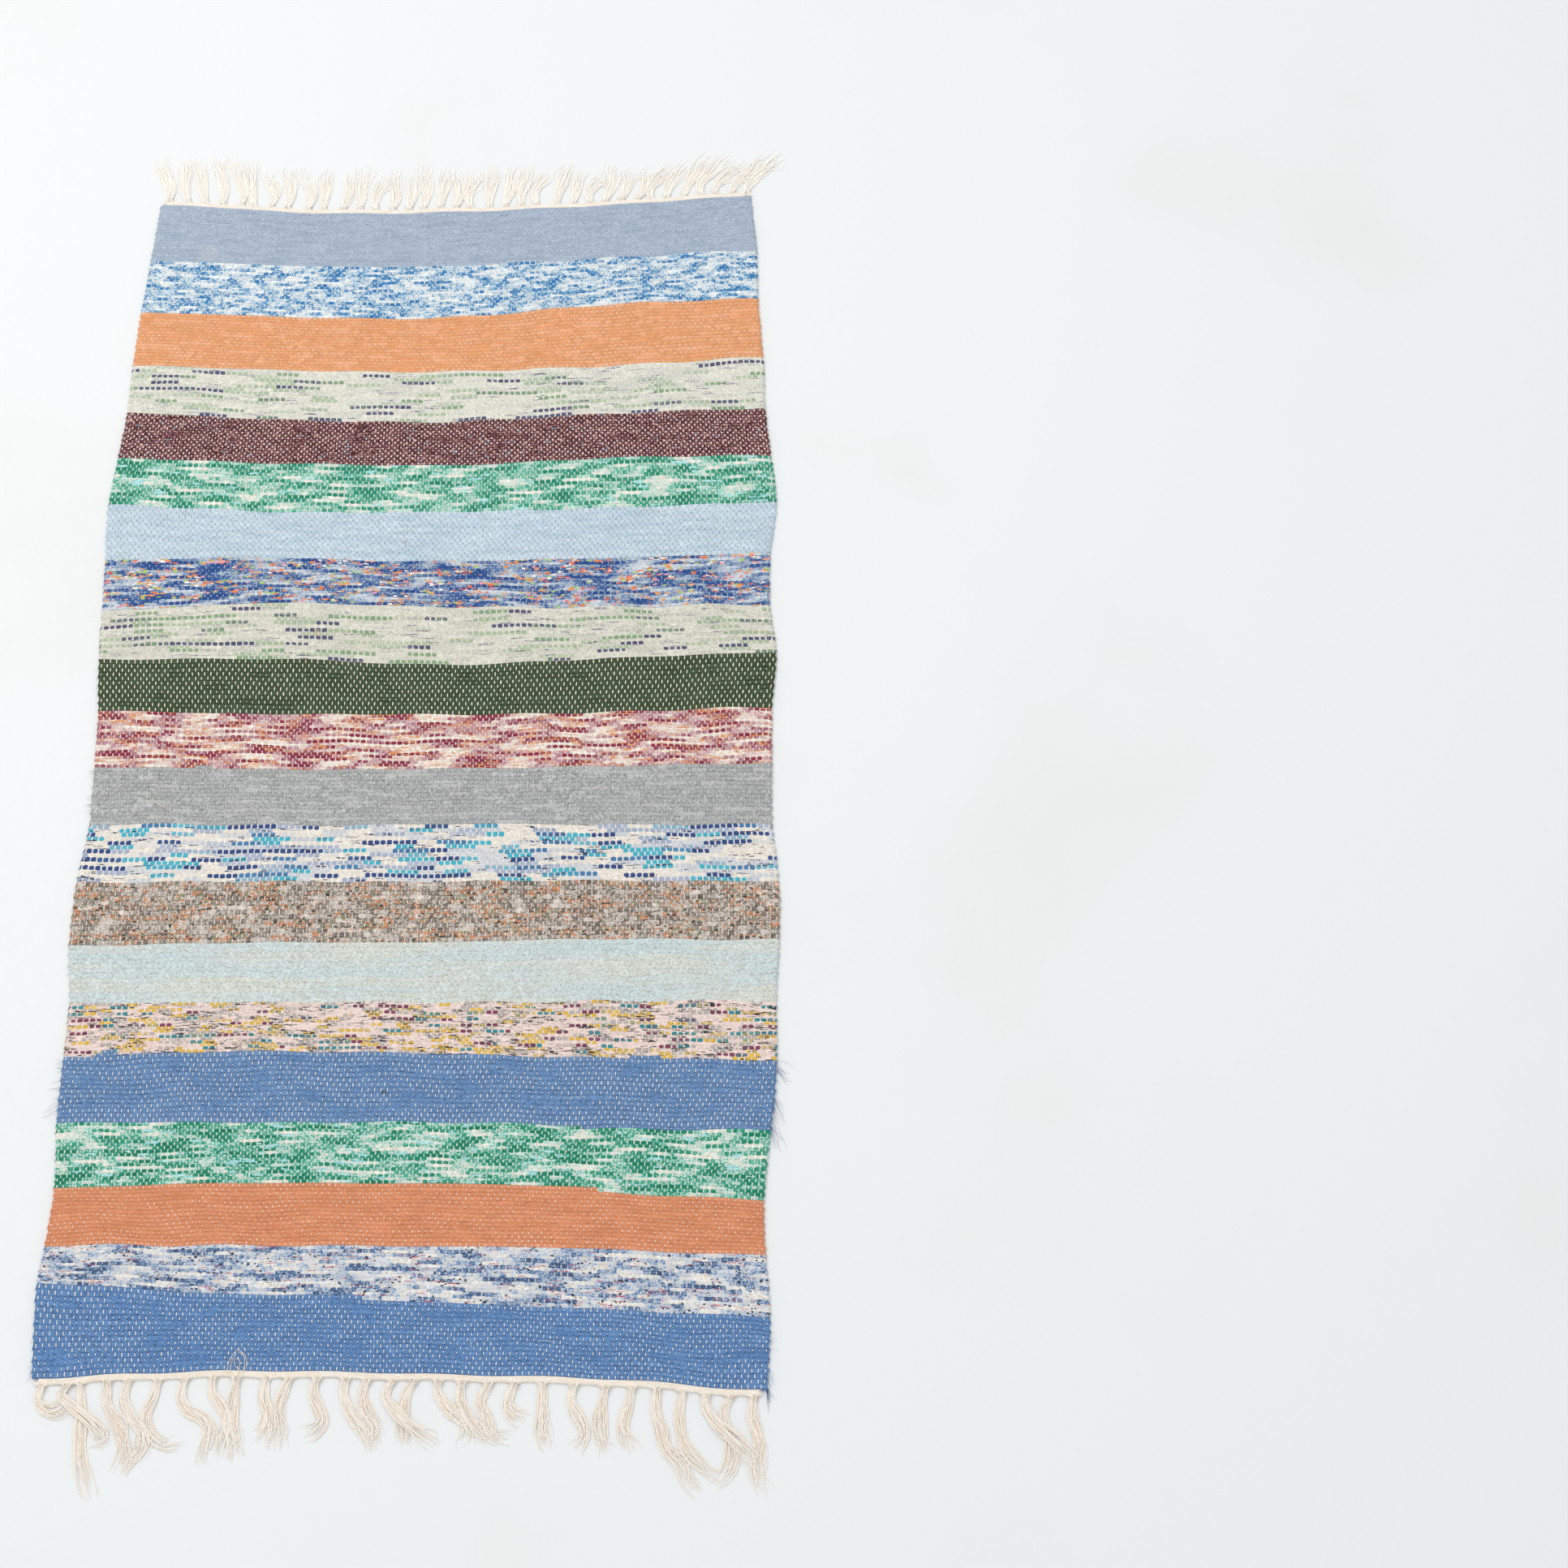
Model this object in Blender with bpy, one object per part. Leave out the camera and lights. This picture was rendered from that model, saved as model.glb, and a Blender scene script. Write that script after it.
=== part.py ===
# Rag rug lying flat: a woven ground with scalloped selvedges, and at each end a cotton
# heading whose warp ends are knotted into tassels. Metres, +Z up, +Y towards the far end,
# origin in the middle of the ground's underside.
from collections import namedtuple
import math

import bmesh
import bpy
from mathutils import Vector

MM = 0.001

# Woven ground
GROUND_THICKNESS = 4.8 * MM
SELVEDGE_THICKNESS = 3.0 * MM    # the turned weft is thinner than the cloth it edges
SELVEDGE_DEPTH = 3.0 * MM        # how far in from the edge the cloth reaches its thickness
SCALLOP = 1.2 * MM               # how far each turn of the weft stands out of the selvedge
BAND_CUT_SHIFT = 1.0 * MM        # keeps the cuts between bands off the selvedge's points
CUT_TOLERANCE = 0.001 * MM

# Heading, the strip of fine weft that holds the last picks
HEADING_GAP = 0.3 * MM
HEADING_DEPTH = 7.0 * MM
HEADING_THICKNESS = 3.0 * MM
HEADING_INSET = 5.0 * MM         # the heading stops this far inside each selvedge

# Knots and the locks of warp yarn below them
KNOT_HEIGHT = 4.4 * MM
KNOT_LENGTH = 6.0 * MM
KNOT_SWELL = 1.12                # the knot's widest place against its root
LOCK_HEIGHT = 2.0 * MM
LOCK_TIP_HEIGHT = 1.0 * MM
LOCK_TIP_TAPER = 0.6             # a lock's width at its tip against its root
LOCK_UNEVENNESS = 0.07           # how much the locks of one tassel differ in length
SLOPE_STEP = 0.01                # share of a lock's path over which its slope is measured

COTTON = (0.86, 0.81, 0.72, 1.0)
RAG_BLUE = (0.35, 0.45, 0.60, 1.0)

# Where each colour of weft ends, far end first: the picks it takes, and its last pick's
# place on the left and on the right selvedge, in millimetres.
Change = namedtuple("Change", "picks left_x left_y right_x right_y")
FAR_CORNERS = Change(0, -344, 701, 343, 707)
COLOUR_CHANGES = (
    Change(22, -349, 620, 348, 628),
    Change(20, -354, 549, 349, 561),
    Change(17, -357, 476, 354, 480),
    Change(16, -358, 412, 357, 410),
    Change(17, -363, 351, 362, 347),
    Change(15, -368, 290, 365, 286),
    Change(15, -365, 220, 360, 220),
    Change(17, -363, 156, 360, 156),
    Change(16, -361, 96, 364, 97),
    Change(12, -356, 31, 360, 27),
    Change(19, -354, -36, 359, -39),
    Change(14, -354, -104, 360, -111),
    Change(14, -359, -170, 365, -176),
    Change(13, -361, -240, 365, -242),
    Change(12, -356, -306, 362, -311),
    Change(17, -355, -364, 360, -374),
    Change(14, -355, -434, 355, -446),
    Change(19, -352, -501, 348, -517),
    Change(15, -354, -561, 348, -579),
    Change(14, -358, -600, 351, -634),
    Change(16, -354, -693, 349, -714),
)

# How far the two ends lie beyond the straight line between their corners (towards +Y),
# at even steps from the left corner to the right one, in millimetres.
FAR_BOW = (0, -8, -13, -17, -18, -17, -14, -9, -5, 0)
NEAR_BOW = (0, 6, 10, 13, 13, 12, 11, 10, 4, 0)

# Near tassels from left to right, in millimetres: where each knot sits, how far its locks
# have wandered sideways a third and two thirds of the way along and at their tips, and how
# far they reach from the knot.
Tassel = namedtuple("Tassel", "at third two_thirds tip reach")
NEAR_TASSELS = (
    Tassel(-342, -2, 0, 5, 30),
    Tassel(-321, -5, -7, -4, 50),
    Tassel(-304, 2, 5, 15, 104),
    Tassel(-282, 5, 15, 14, 86),
    Tassel(-261, 2, 10, 11, 83),
    Tassel(-234, -4, -6, 6, 59),
    Tassel(-208, 4, 15, 20, 76),
    Tassel(-181, 6, 13, 12, 76),
    Tassel(-157, -1, 0, 7, 72),
    Tassel(-131, 0, 3, -1, 60),
    Tassel(-108, -7, -8, -6, 63),
    Tassel(-82, -1, 5, -6, 55),
    Tassel(-56, 2, 10, 15, 64),
    Tassel(-34, -2, 7, 13, 62),
    Tassel(-10, -4, 2, 8, 60),
    Tassel(12, -5, -3, 5, 59),
    Tassel(35, 5, 17, 22, 60),
    Tassel(58, 1, 11, 22, 58),
    Tassel(83, -5, 1, 15, 54),
    Tassel(108, -5, -1, 9, 42),
    Tassel(134, 0, 0, 4, 64),
    Tassel(164, 1, 9, 3, 63),
    Tassel(193, -4, -4, 3, 60),
    Tassel(219, -5, -7, 1, 60),
    Tassel(243, 3, 15, 28, 99),
    Tassel(268, -3, 4, 16, 78),
    Tassel(291, 3, 7, 9, 64),
    Tassel(313, -4, -1, 6, 80),
    Tassel(334, 2, 4, 8, 88),
)

# The far tassels are evenly spaced, and lean more and more to the right. Each row is one
# place along the end: its x, the locks' lean and their bow half way, and their reach.
Stretch = namedtuple("Stretch", "x lean bow reach")
FAR_TASSEL_COUNT = 36
FAR_KNOT_WOBBLE = 1.5 * MM       # how unevenly the knots are spaced
FAR_TIP_WOBBLE = 1.0 * MM
FAR_REACH_WOBBLE = 3.0 * MM
LEAN_AT_THIRD = 0.25             # share of the lean that is reached a third of the way
LEAN_AT_TWO_THIRDS = 0.6
FAR_STRETCHES = (
    Stretch(-334, -11, -3, 58),
    Stretch(-290, 3, -4, 60),
    Stretch(-200, 4, -3, 55),
    Stretch(-120, 6, -2, 60),
    Stretch(-40, 7, -2, 48),
    Stretch(60, 12, -3, 46),
    Stretch(130, 14, -3, 60),
    Stretch(220, 20, -2, 58),
    Stretch(334, 29, -1, 57),
)

Fringe = namedtuple("Fringe", "locks lock_width root_gap tip_gap steps")
NEAR_LOCKS = Fringe(locks=4, lock_width=1.5 * MM, root_gap=0.7 * MM, tip_gap=1.5 * MM, steps=5)
FAR_LOCKS = Fringe(locks=3, lock_width=1.7 * MM, root_gap=0.8 * MM, tip_gap=2.2 * MM, steps=3)


def between(a, b, t):
    return a + (b - a) * t


def uneven(number, pace):
    """A value from -1 to 1 that jumps about from one number to the next."""
    return math.sin(pace * number)


def along(values, t):
    """Read evenly spaced values at t from 0 to 1."""
    place = min(max(t, 0.0), 1.0) * (len(values) - 1)
    i = min(int(place), len(values) - 2)
    return between(values[i], values[i + 1], place - i)


def row_at(rows, x):
    """Blend the rows of a table whose first column is x."""
    for a, b in zip(rows, rows[1:]):
        if x <= b[0] or b is rows[-1]:
            t = min(max((x - a[0]) / (b[0] - a[0]), 0.0), 1.0)
            return type(a)(*(between(p, q, t) for p, q in zip(a, b)))


def end_points(corners, bow):
    """One end of the ground from its left corner to its right one, in metres."""
    points = []
    for i, sag in enumerate(bow):
        t = i / (len(bow) - 1)
        x = between(corners.left_x, corners.right_x, t)
        y = between(corners.left_y, corners.right_y, t) + sag
        points.append(Vector((x, y, 0)) * MM)
    return points


def end_y(corners, bow, x):
    """The y of one end of the ground at x."""
    width = (corners.right_x - corners.left_x) * MM
    t = (x - corners.left_x * MM) / width
    straight = between(corners.left_y, corners.right_y, t)
    return (straight + along(bow, t)) * MM


def selvedge_points(side):
    """One selvedge from the far end to the near one. A turn of the weft, two picks long,
    stands out at every second pick, and the turns of the two sides alternate."""
    points, pick = [], 0
    last = FAR_CORNERS
    for change in COLOUR_CHANGES:
        for step in range(1, change.picks + 1):
            pick += 1
            t = step / change.picks
            if side < 0:
                x = between(last.left_x, change.left_x, t)
                y = between(last.left_y, change.left_y, t)
            else:
                x = between(last.right_x, change.right_x, t)
                y = between(last.right_y, change.right_y, t)
            turns = pick % 2 == (0 if side < 0 else 1)
            out = side * SCALLOP if turns else 0.0
            points.append(Vector((x * MM + out, y * MM, 0)))
        last = change
    return points[:-1]           # the near corner belongs to the end


def new_material(name, colour, roughness):
    material = bpy.data.materials.new(name)
    material.use_nodes = True
    shader = material.node_tree.nodes["Principled BSDF"]
    shader.inputs["Base Color"].default_value = colour
    shader.inputs["Roughness"].default_value = roughness
    shader.inputs["Metallic"].default_value = 0.0
    return material


def new_object(name, bm, material, collection):
    bmesh.ops.recalc_face_normals(bm, faces=bm.faces)
    mesh = bpy.data.meshes.new(name)
    bm.to_mesh(mesh)
    bm.free()
    mesh.materials.append(material)
    thing = bpy.data.objects.new(name, mesh)
    collection.objects.link(thing)
    return thing


def split_at_colour_changes(bm):
    """Cut the flat outline into bands, so that its faces stay small."""
    for change in COLOUR_CHANGES[:-1]:
        left = Vector((change.left_x * MM, change.left_y * MM + BAND_CUT_SHIFT, 0))
        right = Vector((change.right_x * MM, change.right_y * MM + BAND_CUT_SHIFT, 0))
        across = (right - left).normalized()
        bmesh.ops.bisect_plane(
            bm,
            geom=bm.verts[:] + bm.edges[:] + bm.faces[:],
            dist=CUT_TOLERANCE,
            plane_co=left,
            plane_no=(-across.y, across.x, 0),
        )


def make_ground(material, collection):
    far = end_points(FAR_CORNERS, FAR_BOW)
    near = end_points(COLOUR_CHANGES[-1], NEAR_BOW)
    outline = far[::-1] + selvedge_points(-1) + near + selvedge_points(1)[::-1]

    bm = bmesh.new()
    corners = [bm.verts.new(point) for point in outline]
    bm.faces.new(corners)
    split_at_colour_changes(bm)

    raised = bmesh.ops.extrude_face_region(bm, geom=bm.faces[:])["geom"]
    top = [item for item in raised if isinstance(item, bmesh.types.BMFace)]
    bmesh.ops.translate(
        bm,
        verts=[item for item in raised if isinstance(item, bmesh.types.BMVert)],
        vec=(0, 0, SELVEDGE_THICKNESS),
    )
    bmesh.ops.inset_region(
        bm,
        faces=top,
        thickness=SELVEDGE_DEPTH,
        use_boundary=True,
        use_even_offset=True,
    )
    crown = {vert for face in top for vert in face.verts}
    rise = GROUND_THICKNESS - SELVEDGE_THICKNESS
    bmesh.ops.translate(bm, verts=list(crown), vec=(0, 0, rise))
    return new_object("woven_ground", bm, material, collection)


def near_tassels():
    return [Tassel(*(value * MM for value in row)) for row in NEAR_TASSELS]


def far_tassels():
    first, last = FAR_STRETCHES[0].x, FAR_STRETCHES[-1].x
    tassels = []
    for i in range(FAR_TASSEL_COUNT):
        x = between(first, last, i / (FAR_TASSEL_COUNT - 1))
        row = row_at(FAR_STRETCHES, x)
        tassels.append(Tassel(
            at=x * MM + FAR_KNOT_WOBBLE * uneven(i, 1.9),
            third=(row.lean * LEAN_AT_THIRD + row.bow) * MM,
            two_thirds=(row.lean * LEAN_AT_TWO_THIRDS + row.bow) * MM,
            tip=row.lean * MM + FAR_TIP_WOBBLE * uneven(i, 2.3),
            reach=row.reach * MM + FAR_REACH_WOBBLE * uneven(i, 2.3),
        ))
    return tassels


def wander(tassel, t):
    """Sideways place of a tassel's middle, on the cubic through its four given places."""
    a, b, c, d = 0.0, tassel.third, tassel.two_thirds, tassel.tip
    u = 3.0 * t
    return (
        -a * (u - 1) * (u - 2) * (u - 3) / 6
        + b * u * (u - 2) * (u - 3) / 2
        - c * u * (u - 1) * (u - 3) / 2
        + d * u * (u - 1) * (u - 2) / 6
    )


def pull_edge(bm, edge, left, right, height, level):
    """Extrude an edge of the plan to a new left and right end, and return the new edge."""
    made = bmesh.ops.extrude_edge_only(bm, edges=[edge])["geom"]
    verts = [item for item in made if isinstance(item, bmesh.types.BMVert)]
    verts.sort(key=lambda vert: vert.co.x)
    for vert, place in zip(verts, (left, right)):
        vert.co = place
        vert[level] = height
    return next(item for item in made if isinstance(item, bmesh.types.BMEdge)
                and all(vert in verts for vert in item.verts))


def knot_root_width(fringe):
    return fringe.locks * fringe.lock_width + (fringe.locks - 1) * fringe.root_gap


def add_knot(bm, edge, tassel, fringe, base_y, out, level):
    """Swell the tassel's root edge into a knot and split its end between the locks."""
    half = knot_root_width(fringe) / 2
    wide = half * KNOT_SWELL
    middle = base_y + out * KNOT_LENGTH / 2
    end = base_y + out * KNOT_LENGTH
    edge = pull_edge(bm, edge, Vector((tassel.at - wide, middle, 0)),
                     Vector((tassel.at + wide, middle, 0)), KNOT_HEIGHT, level)
    edge = pull_edge(bm, edge, Vector((tassel.at - half, end, 0)),
                     Vector((tassel.at + half, end, 0)), LOCK_HEIGHT, level)
    return split_for_locks(edge, fringe, level)


def split_for_locks(edge, fringe, level):
    """Split a knot's end edge into lock roots and the gaps between them."""
    left = min(edge.verts, key=lambda vert: vert.co.x)
    roots = []
    for i in range(2 * fringe.locks - 2):
        right = edge.other_vert(left)
        width = fringe.root_gap if i % 2 else fringe.lock_width
        share = width / (right.co.x - left.co.x)
        made, vert = bmesh.utils.edge_split(edge, left, share)
        vert[level] = LOCK_HEIGHT
        piece, edge = (made, edge) if left in made.verts else (edge, made)
        if i % 2 == 0:
            roots.append(piece)
        left = vert
    return roots + [edge]


def add_lock(bm, edge, number, tassel, fringe, start_y, out, lengthening, level):
    """Pull one lock out along its tassel's path, fanning away from its neighbours. The
    locks of a tassel bend at the same places, so that they stay apart."""
    place = number - (fringe.locks - 1) / 2
    for step in range(1, fringe.steps + 1):
        t = step / fringe.steps if step < fringe.steps else 1.0 + lengthening
        spread = fringe.lock_width + between(fringe.root_gap, fringe.tip_gap, t)
        width = fringe.lock_width * between(1.0, LOCK_TIP_TAPER, t)
        x = tassel.at + wander(tassel, t)
        aside = wander(tassel, t + SLOPE_STEP) - wander(tassel, t - SLOPE_STEP)
        slope = math.atan2(aside, 2 * SLOPE_STEP * tassel.reach)
        sideways = Vector((math.cos(slope), -out * math.sin(slope), 0))
        y = start_y + out * tassel.reach * t
        centre = Vector((x, y, 0)) + sideways * (place * spread)
        edge = pull_edge(
            bm, edge,
            centre - sideways * (width / 2),
            centre + sideways * (width / 2),
            between(LOCK_HEIGHT, LOCK_TIP_HEIGHT, t),
            level,
        )


def make_fringe(name, tassels, fringe, corners, bow, out, material, collection):
    """A heading and its tassels: their plan is laid out on the floor, then given height."""
    bm = bmesh.new()
    level = bm.verts.layers.float.new("height")
    half = knot_root_width(fringe) / 2
    stops = [corners.left_x * MM + HEADING_INSET]
    for tassel in tassels:
        stops += [tassel.at - half, tassel.at + half]
    stops.append(corners.right_x * MM - HEADING_INSET)

    inner = []
    for x in stops:
        vert = bm.verts.new((x, end_y(corners, bow, x) + out * HEADING_GAP, 0))
        vert[level] = HEADING_THICKNESS
        inner.append(vert)
    chain = [bm.edges.new(pair) for pair in zip(inner, inner[1:])]
    made = bmesh.ops.extrude_edge_only(bm, edges=chain)["geom"]
    outer = [item for item in made if isinstance(item, bmesh.types.BMVert)]
    bmesh.ops.translate(bm, verts=outer, vec=(0, out * HEADING_DEPTH, 0))
    outer.sort(key=lambda vert: vert.co.x)

    for i, tassel in enumerate(tassels):
        left, right = outer[2 * i + 1], outer[2 * i + 2]
        root = bm.edges.get((left, right))
        base_y = (left.co.y + right.co.y) / 2
        locks = add_knot(bm, root, tassel, fringe, base_y, out, level)
        start_y = base_y + out * KNOT_LENGTH
        for number, edge in enumerate(locks):
            lengthening = LOCK_UNEVENNESS * uneven(i * fringe.locks + number, 1.7)
            add_lock(bm, edge, number, tassel, fringe, start_y, out, lengthening, level)

    raised = bmesh.ops.extrude_face_region(bm, geom=bm.faces[:])["geom"]
    for item in raised:
        if isinstance(item, bmesh.types.BMVert):
            item.co.z = item[level]
    return new_object(name, bm, material, collection)


def main():
    for thing in list(bpy.data.objects):
        bpy.data.objects.remove(thing)
    collection = bpy.data.collections.new("rag_rug")
    bpy.context.scene.collection.children.link(collection)

    rag = new_material("rag_weft", RAG_BLUE, 0.95)
    warp_far = new_material("far_warp_cotton", COTTON, 0.9)
    warp_near = new_material("near_warp_cotton", COTTON, 0.9)

    make_ground(rag, collection)
    make_fringe("far_heading_fringe", far_tassels(), FAR_LOCKS,
                FAR_CORNERS, FAR_BOW, 1, warp_far, collection)
    make_fringe("near_heading_fringe", near_tassels(), NEAR_LOCKS,
                COLOUR_CHANGES[-1], NEAR_BOW, -1, warp_near, collection)


main()
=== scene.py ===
from math import pi
from statistics import NormalDist

import bmesh
import bpy
import numpy as np
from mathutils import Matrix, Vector


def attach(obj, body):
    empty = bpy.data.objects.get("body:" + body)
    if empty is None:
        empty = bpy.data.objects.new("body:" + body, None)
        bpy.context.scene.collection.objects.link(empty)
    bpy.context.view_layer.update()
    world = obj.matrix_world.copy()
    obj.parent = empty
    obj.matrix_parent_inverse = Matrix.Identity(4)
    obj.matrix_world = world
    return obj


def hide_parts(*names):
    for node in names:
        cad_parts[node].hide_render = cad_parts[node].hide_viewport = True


# Rag rug lying flat, looks only. Metres, +Z up, +Y towards the far end, origin in the
# middle of the ground's underside. Warp ends are counted from the left selvedge and picks
# from the far end, and both are kept on the cloth as the UV map "weave".

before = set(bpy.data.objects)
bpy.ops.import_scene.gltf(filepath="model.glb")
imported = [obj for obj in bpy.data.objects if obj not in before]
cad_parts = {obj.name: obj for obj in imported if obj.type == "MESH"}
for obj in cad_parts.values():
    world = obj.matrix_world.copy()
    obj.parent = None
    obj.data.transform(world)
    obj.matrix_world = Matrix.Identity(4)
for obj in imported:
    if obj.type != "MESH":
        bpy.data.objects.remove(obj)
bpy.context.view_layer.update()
scene = bpy.context.scene
mm = 0.001
print("frame loaded:", sorted(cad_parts))


def tint(code):  # linear colour of an sRGB hex code
    channels = [int(code[i:i + 2], 16) / 255 for i in (0, 2, 4)]
    return [c / 12.92 if c <= 0.04045 else ((c + 0.055) / 1.055) ** 2.4
            for c in channels] + [1.0]


def addNode(tree, kind, feeds=None, **settings):
    node = tree.nodes.new("ShaderNode" + kind)
    for name, value in settings.items():
        setattr(node, name, value)
    for key, value in (feeds or {}).items():
        if isinstance(value, wire):
            tree.links.new(value.socket, node.inputs[key])
        else:
            node.inputs[key].default_value = value
    return node


class wire:  # a node's output to reckon with: every step adds a Math node to its tree
    def __init__(self, node, output=0):
        self.socket = node.outputs[output]
        self.tree = node.id_data

    def calc(self, operation, *values, clamp=False):
        feeds = dict(enumerate((self, *values)))
        return wire(addNode(self.tree, "Math", feeds, operation=operation, use_clamp=clamp))

    def __add__(self, other):
        return self.calc("ADD", other)

    def __sub__(self, other):
        return self.calc("SUBTRACT", other)

    def __rsub__(self, other):
        return wire(addNode(self.tree, "Math", {0: other, 1: self}, operation="SUBTRACT"))

    def __mul__(self, other):
        return self.calc("MULTIPLY", other)

    def __truediv__(self, other):
        return self.calc("DIVIDE", other)

    def __pow__(self, other):
        return self.calc("POWER", other)

    def __abs__(self):
        return self.calc("ABSOLUTE")

    def remap(self, low, high, toLow=0.0, toHigh=1.0, kind="SMOOTHSTEP"):
        feeds = {0: self, 1: low, 2: high, 3: toLow, 4: toHigh}
        return wire(addNode(self.tree, "MapRange", feeds, interpolation_type=kind))

    def split(self, kind="XYZ"):
        node = addNode(self.tree, "Separate" + kind, {0: self})
        return [wire(node, output) for output in range(3)]

    def plug(self, node, name):
        self.tree.links.new(self.socket, node.inputs[name])


def blend(factor, first, second, mode="MIX"):
    tree = next(value.tree for value in (factor, first, second) if isinstance(value, wire))
    feeds = {0: factor, 6: first, 7: second}
    return wire(addNode(tree, "Mix", feeds, data_type="RGBA", blend_type=mode), 2)


def vectorStep(operation, vector, *values, output=0):
    feeds = dict(enumerate((vector, *values)))
    return wire(addNode(vector.tree, "VectorMath", feeds, operation=operation), output)


def noise(vector, scale, detail, dimensions="3D", output=0):
    feeds = {"Vector": vector, "Scale": scale, "Detail": detail}
    return wire(addNode(vector.tree, "TexNoise", feeds, noise_dimensions=dimensions), output)


def shareRamp(value, text, spread=None, hard=True):
    # "aabbcc 60 ddeeff 40" as a ramp whose colours take their shares of an even value, or
    # of a bell-shaped one round 0.5 with that spread
    words = text.split()
    shares = np.array(words[1::2], float)
    shares = shares / shares.sum()
    starts = np.cumsum(shares) - shares
    places = starts if hard else starts + shares / 2
    if spread is not None:
        places = [NormalDist(0.5, spread).inv_cdf(p) for p in np.clip(places, 0.0005, 0.9995)]
    places = np.clip(places, 0.0, 1.0).tolist()
    if hard:
        places[0] = 0.0
    ramp = addNode(value.tree, "ValToRGB", {0: value})
    ramp.color_ramp.interpolation = "CONSTANT" if hard else "LINEAR"
    stops = ramp.color_ramp.elements
    stops.remove(stops[1])
    stops[0].position = places[0]
    stops[0].color = tint(words[0])
    for place, code in zip(places[1:], words[2::2]):
        stops.new(place).color = tint(code)
    return wire(ramp)


def startMaterial(name, **plain):  # plain values are set on the shader's own sockets
    material = bpy.data.materials.new(name)
    material.use_nodes = True
    shader = material.node_tree.nodes["Principled BSDF"]
    for key, value in plain.items():
        shader.inputs[key.replace("_", " ")].default_value = value
    return material, material.node_tree, shader


def addBump(shader, height, strength, distance):
    feeds = {"Height": height, "Strength": strength, "Distance": distance}
    wire(addNode(height.tree, "Bump", feeds)).plug(shader, "Normal")


# Camera and light. The photograph looks down at the rug from its near end.
view = dict(place=(0.3549, -1.5485, 2.873), turn=(27.33, 0.0, -0.643), lens=70.8,
            sensor=36.0)
air = dict(colour="fbfcfd", strength=0.805)
softboxes = dict(key=dict(place=(-1.9, 1.2, 3.3), size=1.4, power=41.5, colour="fffaf4"),
                 fill=dict(place=(0.9, 0.9, 3.4), size=2.4, power=10.4, colour="ffffff"))

camera = bpy.data.objects.new("photoCamera", bpy.data.cameras.new("photoCamera"))
camera.location = view["place"]
camera.rotation_euler = [angle * pi / 180 for angle in view["turn"]]
camera.data.lens = view["lens"]
camera.data.sensor_width = view["sensor"]
scene.collection.objects.link(camera)
scene.camera = camera
scene.view_settings.view_transform = "Standard"

world = bpy.data.worlds.new("studioAir")
world.use_nodes = True
background = world.node_tree.nodes["Background"]
background.inputs["Color"].default_value = tint(air["colour"])
background.inputs["Strength"].default_value = air["strength"]
scene.world = world

for name, softbox in softboxes.items():
    lamp = bpy.data.lights.new(name + "Softbox", "AREA")
    lamp.shape = "SQUARE"
    lamp.size = softbox["size"]
    lamp.energy = softbox["power"]
    lamp.color = tint(softbox["colour"])[:3]
    box = bpy.data.objects.new(name + "Softbox", lamp)
    box.location = softbox["place"]
    box.rotation_mode = "QUATERNION"
    box.rotation_quaternion = (Vector(softbox["place"]) * -1).to_track_quat("-Z", "Y")
    scene.collection.objects.link(box)


# Floor: pale, matt, faintly mottled
floorLook = dict(size=12.0, colour="eef1f2", stain="ebedec", stainScale=2.2, grainScale=60.0)


def makeFloor():
    material, tree, shader = startMaterial("paleFloor", Specular_IOR_Level=0.3)
    place = wire(addNode(tree, "TexCoord"), "Object")
    grime = noise(place, floorLook["stainScale"], 4.0).remap(0.5, 0.75)
    blend(grime, tint(floorLook["colour"]), tint(floorLook["stain"])).plug(shader, "Base Color")
    fine = noise(place, floorLook["grainScale"], 3.0)
    fine.remap(0.3, 0.7, 0.5, 0.65).plug(shader, "Roughness")
    addBump(shader, fine, 0.03, mm)
    bm = bmesh.new()
    bmesh.ops.create_grid(bm, x_segments=4, y_segments=4, size=floorLook["size"] / 2)
    mesh = bpy.data.meshes.new("floor")
    bm.to_mesh(mesh)
    bm.free()
    mesh.materials.append(material)
    floor = bpy.data.objects.new("floor", mesh)
    scene.collection.objects.link(floor)


makeFloor()
print("camera, light and floor made")


# The weave's lattice, shared by every rag band. A bead is the hump that a pick makes over
# one warp end; the next pick's beads stand half a bead to the side. Between two beads of a
# pick the other warp end shows as a pale upright tick.
latticeInputs = ("tickWidth", "tickHeight", "tickShow", "tickPatch", "tickLean", "tickFlare",
                 "notch")
latticeOutputs = ("height", "tick", "side", "round", "bead", "weave")


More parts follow.
